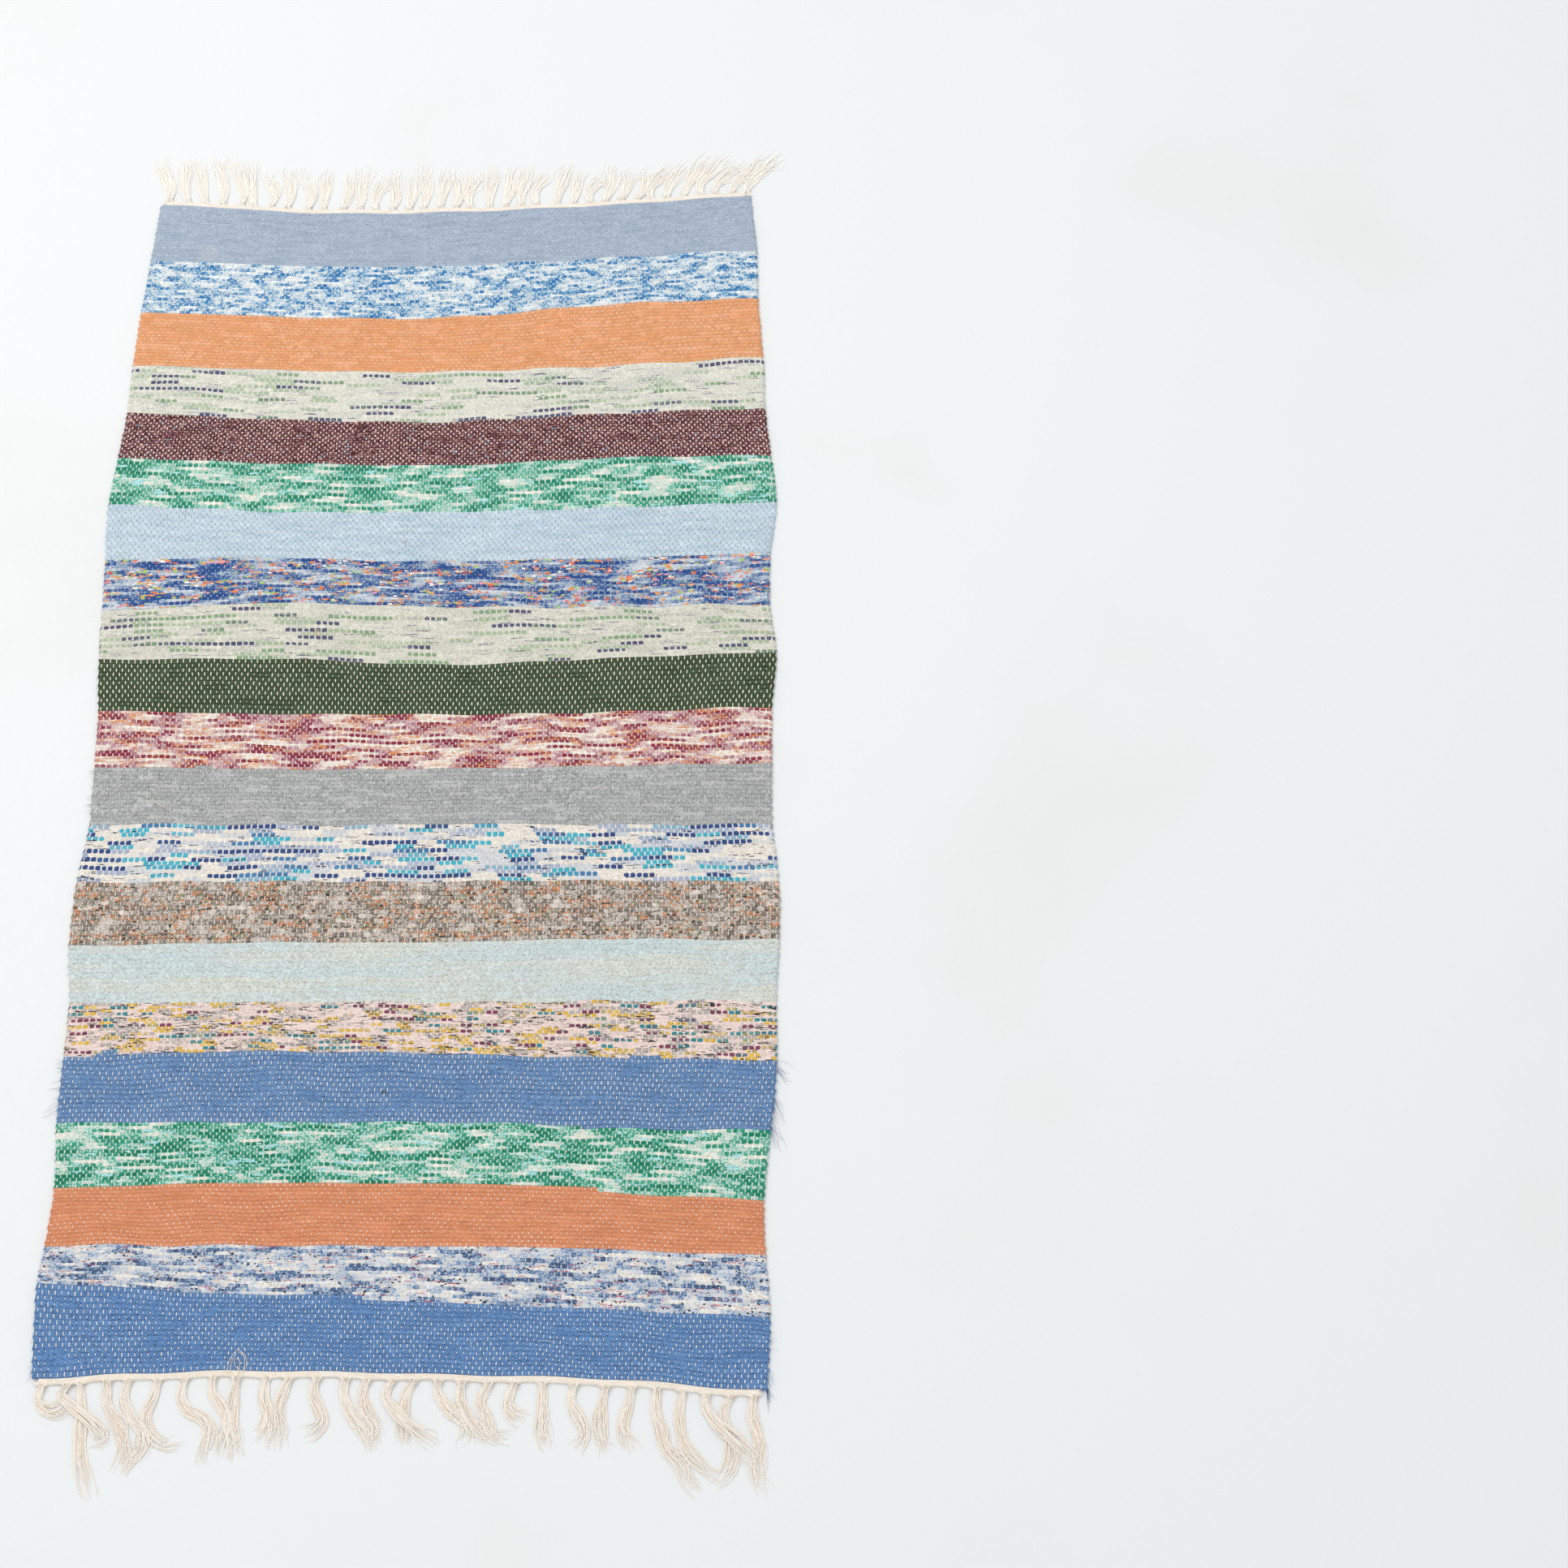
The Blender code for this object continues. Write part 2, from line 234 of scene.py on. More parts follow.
def makeLattice():
    tree = bpy.data.node_groups.new("weaveLattice", "ShaderNodeTree")
    for name in latticeInputs:
        tree.interface.new_socket(name=name, in_out="INPUT", socket_type="NodeSocketFloat")
    for name in latticeOutputs:
        kind = "NodeSocketVector" if name in ("bead", "weave") else "NodeSocketFloat"
        tree.interface.new_socket(name=name, in_out="OUTPUT", socket_type=kind)
    inputs = tree.nodes.new("NodeGroupInput")
    given = {name: wire(inputs, name) for name in latticeInputs}

    weave = wire(addNode(tree, "UVMap", uv_map="weave"))
    loose = vectorStep("SUBTRACT", noise(weave, 0.7, 1.0, "2D", "Color"), (0.5, 0.5, 0.5))
    moved = vectorStep("MULTIPLY_ADD", loose, (0.32, 0.26, 0.0), weave)
    end, pick, _ = moved.split()
    row = pick.calc("FLOOR")
    along = (pick - row) * 2 - 1
    alongSize = abs(along)
    place = (end + row) * 0.5
    across = abs(place - (place + 0.5).calc("FLOOR")) * 2
    fromTick = 1 - across
    alongOther = 2 - alongSize

    def hump(acrossPart, alongPart):
        return 1 - acrossPart ** 4 * given["notch"] - alongPart ** 2 * 0.82

    def ring(acrossPart, alongPart):
        return (acrossPart * 1.1) ** 3.4 + (alongPart * 0.9) ** 3.4

    own = hump(across, alongSize)
    other = hump(fromTick, alongOther)
    isOther = other.calc("GREATER_THAN", own)

    def choose(mine, others):
        return isOther * (others - mine) + mine

    height = own.calc("MAXIMUM", other).calc("MAXIMUM", 0.0).calc("SQRT")
    roundness = choose(ring(across, alongSize), ring(fromTick, alongOther))
    beadRow = choose(row, row + along.calc("SIGN"))
    column = ((end + beadRow) * 0.5 + 0.5).calc("FLOOR")
    bead = wire(addNode(tree, "CombineXYZ", {0: column, 1: beadRow}))

    # Ticks show in patches, where the picks were beaten in less hard
    tickColumn = place.calc("FLOOR")
    mark = wire(addNode(tree, "CombineXYZ", {0: tickColumn, 1: row, 2: 7.0}))
    chance = wire(addNode(tree, "TexWhiteNoise", {"Vector": mark}, noise_dimensions="3D"))
    patch = noise(vectorStep("MULTIPLY", weave, (0.09, 0.30, 0.0)), 1.0, 2.0, "2D")
    shown = given["tickShow"] + (patch - 0.5) * given["tickPatch"]
    shown = shown.calc("ADD", (chance - 0.5) * 0.6, clamp=True)
    tall = given["tickHeight"] * shown.calc("MULTIPLY", 1.3, clamp=True) + 0.001
    wide = given["tickWidth"] * (shown * 0.4 + 0.7)
    wide = wide * (alongSize ** 3 * given["tickFlare"] + 1)
    leaning = (place - (tickColumn + 0.5)) * 2 + along * given["tickLean"]
    boxed = abs(leaning / wide) ** 4 + (alongSize / tall) ** 4
    tick = boxed.remap(1.5, 0.5) * shown.remap(0.04, 0.22)
    # side: where painted shade falls beside a tick
    side = fromTick.remap(0.40, 0.20) * alongSize.remap(1.0, 0.6)
    side = side * shown.remap(0.15, 0.60, 0.2, 1.0)

    result = tree.nodes.new("NodeGroupOutput")
    values = (height, tick, side, roundness, bead, moved)
    for name, value in zip(latticeOutputs, values):
        value.plug(result, name)
    return tree


lattice = makeLattice()

# Look of a band that names nothing else
plainLook = dict(
    stretch=0.13,      # colour changes per bead along the pick
    link=0.87,         # colour changes per pick, below 1 for patches several picks deep
    jitter=0.10,       # how far single beads stray from their run
    ragged=0.10,       # how far colours fray inside a bead
    hard=True,         # clear colour steps, or colours that run into each other
    stepped=False,     # each run takes its own colour, whatever lies beside it
    alternate=0.0,     # how far every other pick of stepped runs keeps to the first colours
    flecks=(),         # layers of flecks: colours, share, width in ends, height in picks
    tickShow=0.62, tickPatch=2.2, tickWidth=0.18, tickHeight=0.86, tickLean=0.0,
    tickFlare=0.0,     # ticks that widen between the beads' corners, for rounder beads
    tickColour="f6efe6", tickAlpha=1.0, edgeTicks=0.35,
    notch=0.34,        # how deep the beads of a pick are parted
    crease=0.55,       # painted shade: how much darker the colour is between beads
    besideTick=0.7,    # the same painted shade beside a tick
    curl=0.0,          # dark or pale squiggles of a looped yarn
    curlColour=None,
    cover=0.0,         # how far single beads shrink under the rag's base colour
    coverColour="efe9dc",
    spots=(),          # stains: x, y and size in millimetres, colour and strength
    fuzz=0.7, grain=1.3, relief=1.0, streak=0.0)


def makeRag(name, colours, seed, picks, **changes):
    look = {**plainLook, **changes}
    material, tree, shader = startMaterial(name, Specular_IOR_Level=0.25, Sheen_Weight=0.10,
                                           Sheen_Roughness=0.5)
    group = addNode(tree, "Group", node_tree=lattice)
    for key in latticeInputs:
        group.inputs[key].default_value = look[key]
    # The ticks of a band's first and last pick are held open by the next band
    row = wire(addNode(tree, "UVMap", uv_map="weave")).split()[1].calc("FLOOR")
    isLast = row.calc("COMPARE", picks[1] - 1.0, 0.5)
    outer = row.calc("COMPARE", picks[0], 0.5).calc("MAXIMUM", isLast)
    (outer * look["edgeTicks"] + look["tickShow"]).plug(group, "tickShow")
    height, tick, side, roundness, bead, weave = (wire(group, key) for key in latticeOutputs)

    def onWeave(wide, tall, shift):  # weave coordinates divided by that many ends and picks
        return vectorStep("MULTIPLY_ADD", weave, (1 / wide, 1 / tall, 0.0), (shift, 0.0, 0.0))

    place = wire(addNode(tree, "TexCoord"), "Object")
    drawn = vectorStep("MULTIPLY", place, (0.65, 1.0, 1.0))
    fibre = noise(drawn, 1300.0, 1.0)
    grain = noise(drawn, 620.0, 1.0)
    # Runs of colour along the yarn
    if look["stepped"]:
        beadColumn, beadRow, _ = bead.split()
        far = beadRow.calc("MULTIPLY_ADD", 37.73, seed * 17.3)
        at = beadColumn.calc("MULTIPLY_ADD", look["stretch"], far)
        cell = addNode(tree, "TexVoronoi", {"W": at, "Scale": 1.0}, voronoi_dimensions="1D")
        isOdd = beadRow.calc("FLOORED_MODULO", 2.0)
        run = wire(cell, "Color").split("Color")[0] * (isOdd * -look["alternate"] + 1)
    else:
        run = noise(vectorStep("MULTIPLY_ADD", bead, (look["stretch"], look["link"], 0.0),
                               (seed * 17.3, seed * 5.17, 0.0)), 1.0, 1.0, "2D")
    dice = wire(addNode(tree, "TexWhiteNoise", {"Vector": bead}, noise_dimensions="3D"))
    fray = (grain - 0.5) * (look["ragged"] * 4)
    value = run + (dice - 0.5) * look["jitter"] + fray
    spread = (0.119 ** 2 + look["jitter"] ** 2 / 12 + (look["ragged"] * 0.36) ** 2) ** 0.5
    colour = shareRamp(value, colours, None if look["stepped"] else spread, look["hard"])

    if look["cover"] > 0:
        limit = grain * 1.2 + (dice * -look["cover"] + 0.4)
        covered = (roundness - limit).remap(-0.12, 0.12)
        colour = blend(covered, colour, tint(look["coverColour"]))

    crowd = noise(onWeave(10.0, 2.2, seed * 9.1), 1.0, 1.0, "2D").remap(0.40, 0.60)
    for layer, (fleckColours, share, wide, tall) in enumerate(look["flecks"]):
        feeds = {"Vector": onWeave(wide, tall, seed * 3.7 + layer * 11.3), "Scale": 1.0}
        cells = addNode(tree, "TexVoronoi", feeds, voronoi_dimensions="2D")
        dye, chance, _ = wire(cells, "Color").split("Color")
        isFleck = chance.calc("LESS_THAN", crowd * (share * 2))
        blob = (wire(cells, "Distance") + fray * 0.6).remap(0.70, 0.50)
        colour = blend(isFleck * blob, colour, shareRamp(dye, fleckColours))

    for x, y, size, spotColour, strength in look["spots"]:
        away = vectorStep("DISTANCE", place, (x * mm, y * mm, 4.5 * mm), output="Value")
        away = away + (grain - 0.5) * (size * 1.6 * mm)
        spot = away.remap(size * mm, size * 0.4 * mm)
        colour = blend(spot * strength, colour, tint(spotColour))

    # Squiggles of looped yarn
    if look["curl"] > 0:
        curls = abs(noise(drawn, 360.0, 0.0) - 0.5).remap(0.035, 0.008) * look["curl"]
        if look["curlColour"]:
            curled = tint(look["curlColour"])
        else:
            curled = wire(addNode(tree, "Gamma", {0: colour, 1: 1.7}))
        colour = blend(curls, colour, curled)

    # Light and dark of single beads, of grain and fibres, and painted shade in the creases between
    # beads
    shade = dice.remap(0.0, 1.0, 0.94, 1.05, "LINEAR")
    for texture, depth in ((grain, look["grain"]), (fibre, look["fuzz"])):
        shade = shade * (texture * depth + (1 - depth / 2))
    if look["streak"] > 0:
        upright = noise(onWeave(1.1, 16.0, 0.0), 1.0, 2.0, "2D")
        shade = shade * upright.remap(0.3, 0.7, 1 - look["streak"], 1 + look["streak"], "LINEAR")
    grey = wire(addNode(tree, "CombineColor", {0: shade, 1: shade, 2: shade}))
    colour = blend(1.0, colour, grey, "MULTIPLY")
    # Painted shade: the colour is darkened in the creases between beads and beside the ticks
    paintedShadeMask = height.remap(0.64, 0.30).calc("MAXIMUM", side * look["besideTick"])
    paintedShadeMask = paintedShadeMask * grain.remap(0.35, 0.60, 1.15, 0.7)
    colour = wire(addNode(tree, "Gamma", {0: colour, 1: paintedShadeMask * look["crease"] + 1}))
    pale = tint(look["tickColour"])
    tickShade = blend(fibre.remap(0.3, 0.7), pale, [c * 0.86 for c in pale[:3]] + [1.0])
    blend(tick * look["tickAlpha"], colour, tickShade).plug(shader, "Base Color")
    (tick * -0.15 + fibre.remap(0.3, 0.7, 0.82, 0.95)).plug(shader, "Roughness")
    lift = height * 0.45 + grain * 0.70 + fibre * 0.30 + tick * 0.12
    addBump(shader, lift, 0.70 * look["relief"], 1.4 * mm)
    return material


# Looks that two bands share
creamLook = dict(picks=16, stepped=True, stretch=0.20, jitter=0.04, ragged=0.05, tickShow=0.85,
                 tickFlare=0.5, grain=0.9, edgeTicks=0.0, cover=0.6, alternate=0.35,
                 flecks=(("9a9aa8 60 74728c 40", 0.05, 5.0, 0.22),))
greenLook = dict(stretch=0.18, ragged=0.20, tickShow=0.75, tickFlare=0.3, crease=0.45,
                 cover=0.15, flecks=(("a8e0e4 100", 0.05, 4.0, 0.7),))
orangeLook = dict(hard=False, ragged=0.06, tickShow=0.5, crease=0.85, notch=0.2)
blueLook = dict(hard=False, ragged=0.3, tickShow=0.66, tickWidth=0.15, tickHeight=0.78,
                tickPatch=3.0, crease=0.7, grain=1.4, relief=1.2)

# The 21 bands from the far end, with their picks and the colours of their rags
bands = [
    dict(name="paleLavender", picks=22, colours="adbacc 50 b5c2d3 25 a3b2c5 25",
         hard=False, ragged=0.15, tickShow=0.85, tickAlpha=0.8, tickHeight=0.8, tickPatch=1.2,
         tickColour="ccd5df", edgeTicks=0.0, crease=0.8, grain=0.5,
         spots=((-282, 628, 16, "c3c8d0", 0.5),)),
    dict(name="blueAndWhite", picks=20, stretch=0.30, link=1.37, jitter=0.14, ragged=0.28,
         colours="f1f4f4 29 d3e0e8 18 a2c2d8 21 5b98c2 18 2874b2 14", tickShow=0.45,
         tickColour="f4f5f3", crease=0.25, edgeTicks=0.0),
    dict(name="paleOrange", picks=17, **orangeLook, colours="e8a475 50 e29f6b 25 ecac83 25",
         tickHeight=0.5, tickWidth=0.18, grain=0.4, tickAlpha=0.8, edgeTicks=0.3,
         besideTick=0.15),
    dict(name="creamAndSage", **creamLook, crease=0.35, tickColour="eeebe0",
         colours="e2e0d4 36 d6d7cd 22 b2c4a7 16 8aaa83 15 585b7a 11", coverColour="e3e1d6"),
    dict(name="plum", picks=17, colours="52242c 55 673841 45", hard=False, ragged=0.3,
         tickShow=0.80, tickPatch=2.6, tickHeight=0.80, tickWidth=0.21, tickColour="f6e6df",
         crease=0.6, curl=0.9, curlColour="e4b5a9", grain=1.8,
         flecks=(("6f8fa8 100", 0.02, 1.2, 0.5),)),
    dict(name="minty", picks=15, **greenLook, link=1.63, edgeTicks=0.0, tickColour="e9ede2",
         colours="f2ede2 17 b8dfd5 15 86c9b5 20 45a88a 25 178467 23", coverColour="c8e4da"),
    dict(name="paleBlue", picks=15, colours="cddce6 50 c6d6e2 30 bdcfdd 20", hard=False,
         ragged=0.15, tickShow=0.80, tickPatch=1.0, tickColour="97a9b7", tickWidth=0.12,
         tickHeight=0.62, tickLean=-0.45, tickAlpha=0.8, crease=0.5, grain=0.9,
         edgeTicks=0.0, spots=((-37, 235, 3.5, "b9a79c", 0.6),)),
    dict(name="navyWithFlecks", picks=17, stretch=0.16, link=1.61, ragged=0.20,
         colours="d3dae1 20 a3b4c8 20 7690b4 19 446aa2 19 234b8d 22", tickShow=0.55,
         tickColour="cfd8e4", tickAlpha=0.7, crease=0.5, edgeTicks=0.0,
         flecks=(("f3a050 40 ee7048 18 b4d070 16 f0a0b4 10 fbf4ea 16", 0.19, 1.7, 0.5),)),
    dict(name="creamAndMoss", **creamLook, crease=0.38, tickColour="e9e6da",
         colours="dddbce 35 d0cfc3 21 afc1a2 16 89a882 16 565a77 12", coverColour="dedccf",
         spots=((-128, 122.5, 5, "cbb59a", 0.7),)),
    dict(name="bottleGreen", picks=12, colours="465840 55 3b4c33 45", hard=False, ragged=0.2,
         tickShow=0.88, tickPatch=1.6, tickWidth=0.165, tickColour="f3ecd8", crease=0.6,
         grain=1.5, relief=1.2),
    dict(name="roseAndCream", picks=19, stretch=0.13, link=0.93, ragged=0.10,
         colours="f3eade 31 e2c4be 11 c49ca6 17 ac7a8a 14 8a2b47 27", tickShow=0.60,
         tickColour="f0e4da", tickFlare=0.3, crease=0.45, edgeTicks=0.0, cover=0.2,
         coverColour="ead0c6", flecks=(("e0955a 100", 0.17, 2.4, 0.20),)),
    dict(name="greyMelange", picks=14, colours="acafaf 36 9fa3a3 32 b9bbbb 32", hard=False,
         ragged=0.1, tickShow=0.95, tickPatch=1.0, tickAlpha=0.85, tickHeight=0.8,
         tickColour="dcd6d1", crease=0.6, grain=1.1, fuzz=1.4),
    dict(name="whiteNavyTurquoise", picks=14, stepped=True, stretch=0.24, jitter=0.0,
         ragged=0.05, colours="ece5db 25 cfd4db 12 aab6cd 13 49b6cb 13 4a80b0 15 344f88 22",
         tickShow=0.95, tickColour="f0eae2", tickWidth=0.20, tickFlare=0.4, crease=0.5,
         grain=0.9, edgeTicks=0.0, cover=0.45, coverColour="efe9df", alternate=0.40,
         flecks=(("3a4668 100", 0.07, 3.4, 0.20),)),
    dict(name="tweed", picks=13, stretch=0.45, link=1.37, jitter=0.14, ragged=0.45,
         streak=0.16, colours="e9e0d8 20 c6bdb4 21 b2aba0 22 8f857b 20 655c56 17",
         tickShow=0.90, tickAlpha=0.9, tickColour="f3e2da", crease=0.6, grain=2.0,
         flecks=(("cf9068 60 8f9a78 22 4a4442 18", 0.30, 1.0, 0.34),)),
    dict(name="creamAndMist", picks=12, stretch=0.03, link=0.31, ragged=0.10, hard=False,
         colours="d6dad3 38 d1d9d6 30 cbd8d9 32", tickShow=0.55, tickAlpha=0.5,
         tickColour="eef0ec", crease=0.6, edgeTicks=0.0, grain=0.9),
    dict(name="pinkAndYellow", picks=17, stepped=True, stretch=0.45, jitter=0.0, ragged=0.05,
         colours="efdad2 39 bbb4b0 14 e4bb52 15 398f99 17 864661 15", tickShow=0.6,
         tickColour="f6ece6", tickFlare=0.3, crease=0.5, edgeTicks=0.0, cover=0.65,
         coverColour="ecd8d0", grain=0.9, alternate=0.32,
         flecks=(("3a3840 70 8a8684 30", 0.17, 2.4, 0.22),)),
    dict(name="cornflower", picks=14, **blueLook, colours="6f92bc 50 6488b4 50", curl=0.35,
         spots=((-30.7, -407.6, 3.5, "4c4248", 0.75),)),
    dict(name="jade", picks=19, **greenLook, link=1.57, edgeTicks=0.2, tickColour="eceee2",
         colours="efece1 19 b3dfd8 11 82cab9 15 48a88d 19 1d9171 20 0c7c5e 16",
         coverColour="cfe6da"),
    dict(name="burntOrange", picks=15, **orangeLook, colours="df956e 50 d68c65 50",
         tickPatch=1.5, tickHeight=0.55, tickWidth=0.16, tickAlpha=0.9, grain=0.5,
         edgeTicks=0.35, besideTick=0.2),
    dict(name="blueMelange", picks=14, stretch=0.19, link=1.43, ragged=0.22, jitter=0.18,
         colours="efebe4 26 dadee6 20 b8c5d6 20 8fa6c4 15 6686b0 12 42587c 7", tickShow=0.45,
         tickColour="f0ebe4", crease=0.5, edgeTicks=0.0,
         flecks=(("2e3a50 100", 0.06, 0.9, 0.4), ("cf5a66 100", 0.03, 3.0, 0.16))),
    dict(name="deepCornflower", picks=16, **blueLook, colours="6991c0 50 5e85b6 50",
         curl=0.45, edgeTicks=0.6),
]
pickStarts = np.cumsum([0] + [band["picks"] for band in bands])
lastPick = int(pickStarts[-1])
ragMaterials = []
for number, band in enumerate(bands):
    look = {key: value for key, value in band.items() if key not in ("name", "picks", "colours")}
    picks = [float(start) for start in pickStarts[number:number + 2]]
    ragMaterials.append(makeRag(band["name"] + "Rag", band["colours"], number + 1, picks, **look))
print("rag materials made:", len(ragMaterials))


# Lie of the cloth: where each band border runs, in millimetres. Left x, right x, then y at
# the left edge, the quarters and the right edge.
borders = [
    (-343, 342, 698, 685, 684, 692, 704), (-348, 348, 618, 609, 607, 616, 626),
    (-353, 349, 546, 537, 535, 550, 558), (-356, 354, 473, 464, 461, 466, 477),
    (-357, 356, 409, 397, 393, 401, 407), (-362, 362, 348, 340, 335, 343, 344),
    (-367, 367, 287, 277, 274, 278, 283), (-364, 360, 217, 217, 211, 213, 218),
    (-362, 359, 153, 160, 154, 151, 154), (-360, 365, 92, 91, 82, 87, 93),
    (-355, 360, 29, 24, 21, 22, 26), (-353, 359, -38, -42, -44, -42, -41),
    (-352, 359, -105, -108, -109, -111, -113), (-359, 365, -172, -173, -175, -176, -178),
    (-360, 365, -243, -242, -243, -242, -244), (-354, 361, -307, -308, -310, -311, -312),
    (-354, 361, -366, -361, -366, -372, -377), (-354, 355, -436, -437, -439, -444, -448),
    (-350, 347, -504, -501, -503, -509, -520), (-353, 348, -562, -565, -567, -572, -580),
    (-357, 352, -601, -613, -618, -628, -637), (-353, 349, -695, -689, -694, -700, -714),
]
cloth = dict(
    ends=222,                # warp ends from selvedge to selvedge
    pick=4.2 * mm,           # room that one pick takes
    valley=3.6 * mm,         # top side between picks
    relief=1.2 * mm,         # beads above that
    swell=0.25 * mm,         # soft unevenness of the top
    bite=0.05,               # picks' share by which beads reach between those beside them
    lumpy=0.14,              # share by which beads differ
    scallop=1.3 * mm,        # turns of the weft at the selvedges
    drift=1.2 * mm,          # wander of a pick from its straight run
    sway=0.5 * mm,           # wander of a warp end
    edgeTop=2.4 * mm, edgeUnder=1.2 * mm, edgeEnds=1.5, under=0.1 * mm,
    underRelief=0.15 * mm,
    pieces=[2, 2, 2, 2, 2, 2, 2, 2, 2, 3],    # bands in each length of cloth
)
borderTable = np.array(borders) * mm
beadDice = np.random.default_rng(41).uniform(-1, 1, (lastPick + 3, cloth["ends"] + 3))
turnDice = np.random.default_rng(43).uniform(-1, 1, (2, lastPick + 1))


def through(values, place):  # smooth curve through evenly spaced values
    values = np.asarray(values, float)
    first = np.clip(np.floor(place).astype(int), 0, len(values) - 2)
    t = place - first
    a = values[np.clip(first - 1, 0, None)]
    b = values[first]
    c = values[first + 1]
    d = values[np.clip(first + 2, None, len(values) - 1)]
    return b + 0.5 * t * (c - a + t * (2 * a - 5 * b + 4 * c - d + t * (3 * (b - c) + d - a)))


def readPoints(text):  # "1,2 3,4" as rows of numbers
    return np.array([[float(v) for v in point.split(",")] for point in text.split()])


def unevenness(x, y, seed, size):  # soft swell of about -1 to 1 over patches of that size
    dice = np.random.default_rng(seed)
    total = 0.0
    for _ in range(6):
        angle, phase = dice.uniform(0, 2 * pi, 2)
        pitch = size * dice.uniform(0.7, 1.5)
        total = total + np.sin((x * np.cos(angle) + y * np.sin(angle)) * 2 * pi / pitch + phase)
    return total / 3


def clothPlan(end, pick):  # x and y of a point of the weave
    share = end / cloth["ends"]
    place = np.interp(pick, pickStarts, np.arange(len(borders)))
    left = through(borderTable[:, 0], place)
    right = through(borderTable[:, 1], place)
    before = np.clip(place.astype(int), 0, len(borders) - 2)
    part = place - before
    lines = np.array([through(row[2:], 4 * share) for row in borderTable])
    index = np.arange(len(share))
    y = (1 - part) * lines[before, index] + part * lines[before + 1, index]
    isCrossing = (pick == np.round(pick)) & (end == np.round(end)) & (pick > 0) & (pick < lastPick)
    upDown = np.where((end + pick) % 2 == 0, 1, -1)
    y = y + cloth["pick"] * cloth["bite"] * isCrossing * upDown
    x = left + (right - left) * share
    y = y + cloth["drift"] * unevenness(x, y, 11, 0.07)
    x = x + cloth["sway"] * unevenness(x, y, 12, 0.09) * 4 * share * (1 - share)
    turn = np.clip(np.round(pick - 0.5).astype(int), 0, lastPick)
    swing = 0.5 * np.cos(pi * pick)
    fromEdges = (end, cloth["ends"] - end)
    for side, fromEdge, turned in zip((-1, 1), fromEdges, turnDice):
        near = np.exp(-fromEdge / 1.3)
        x = x + near * cloth["scallop"] * (swing + side * 0.35 * turned[turn])
    return x, y


def beadHeight(end, pick):  # 0 in the valleys to 1 on top of a bead
    row = np.floor(pick).astype(int)
    best = np.zeros(len(end))
    for near in (row - 1, row, row + 1):
        across = np.abs((end + near + 1) % 2 - 1)
        along = pick - near - 0.5
        column = np.round((end + near) / 2) * 2 - near
        lump = beadDice[np.clip(near, -1, lastPick) + 1,
                        np.clip(column.astype(int), -1, cloth["ends"] + 1) + 1]
        hump = 1 - plainLook["notch"] * across ** 4 - 3.2 * along ** 2
        best = np.maximum(best, np.sqrt(np.maximum(hump, 0)) * (1 + cloth["lumpy"] * lump))
    return best


def roundOff(inward):  # quarter circle from 0 at an edge to 1
    return np.sqrt(1 - (1 - inward) ** 2)


def clothShape(end, pick, top):
    x, y = clothPlan(end, pick)
    high = cloth["valley"] + cloth["swell"] * unevenness(x, y, 13, 0.12)
    high = high + cloth["relief"] * beadHeight(end, pick)
    inward = np.minimum(end, cloth["ends"] - end) / cloth["edgeEnds"]
    rounded = roundOff(np.clip(inward, 0, 1))
    high = cloth["edgeTop"] + (high - cloth["edgeTop"]) * rounded
    low = cloth["under"] + (cloth["edgeUnder"] - cloth["under"]) * (1 - rounded)
    low = low + cloth["underRelief"] * (0.5 + 0.5 * np.cos(pi * (end + pick))) * rounded
    return x, y, np.where(top, high, low)


def readBack(items, field, size=1, kind=np.float32):
    values = np.empty(len(items) * size, kind)
    items.foreach_get(field, values)
    return values.reshape(-1, size) if size > 1 else values


def writeOut(items, field, *columns):
    items.foreach_set(field, np.stack(columns, -1).astype(np.float32).ravel())


def newMesh(name, bm):
    mesh = bpy.data.meshes.new(name)
    bm.to_mesh(mesh)
    bm.free()
    return mesh


def newPiece(name, mesh):
    piece = bpy.data.objects.new(name, mesh)
    scene.collection.objects.link(piece)
    return piece


def settle(piece, materials, node=None):
    for material in materials:
        piece.data.materials.append(material)
    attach(piece, "root")
    if node:
        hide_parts(node)
    return piece


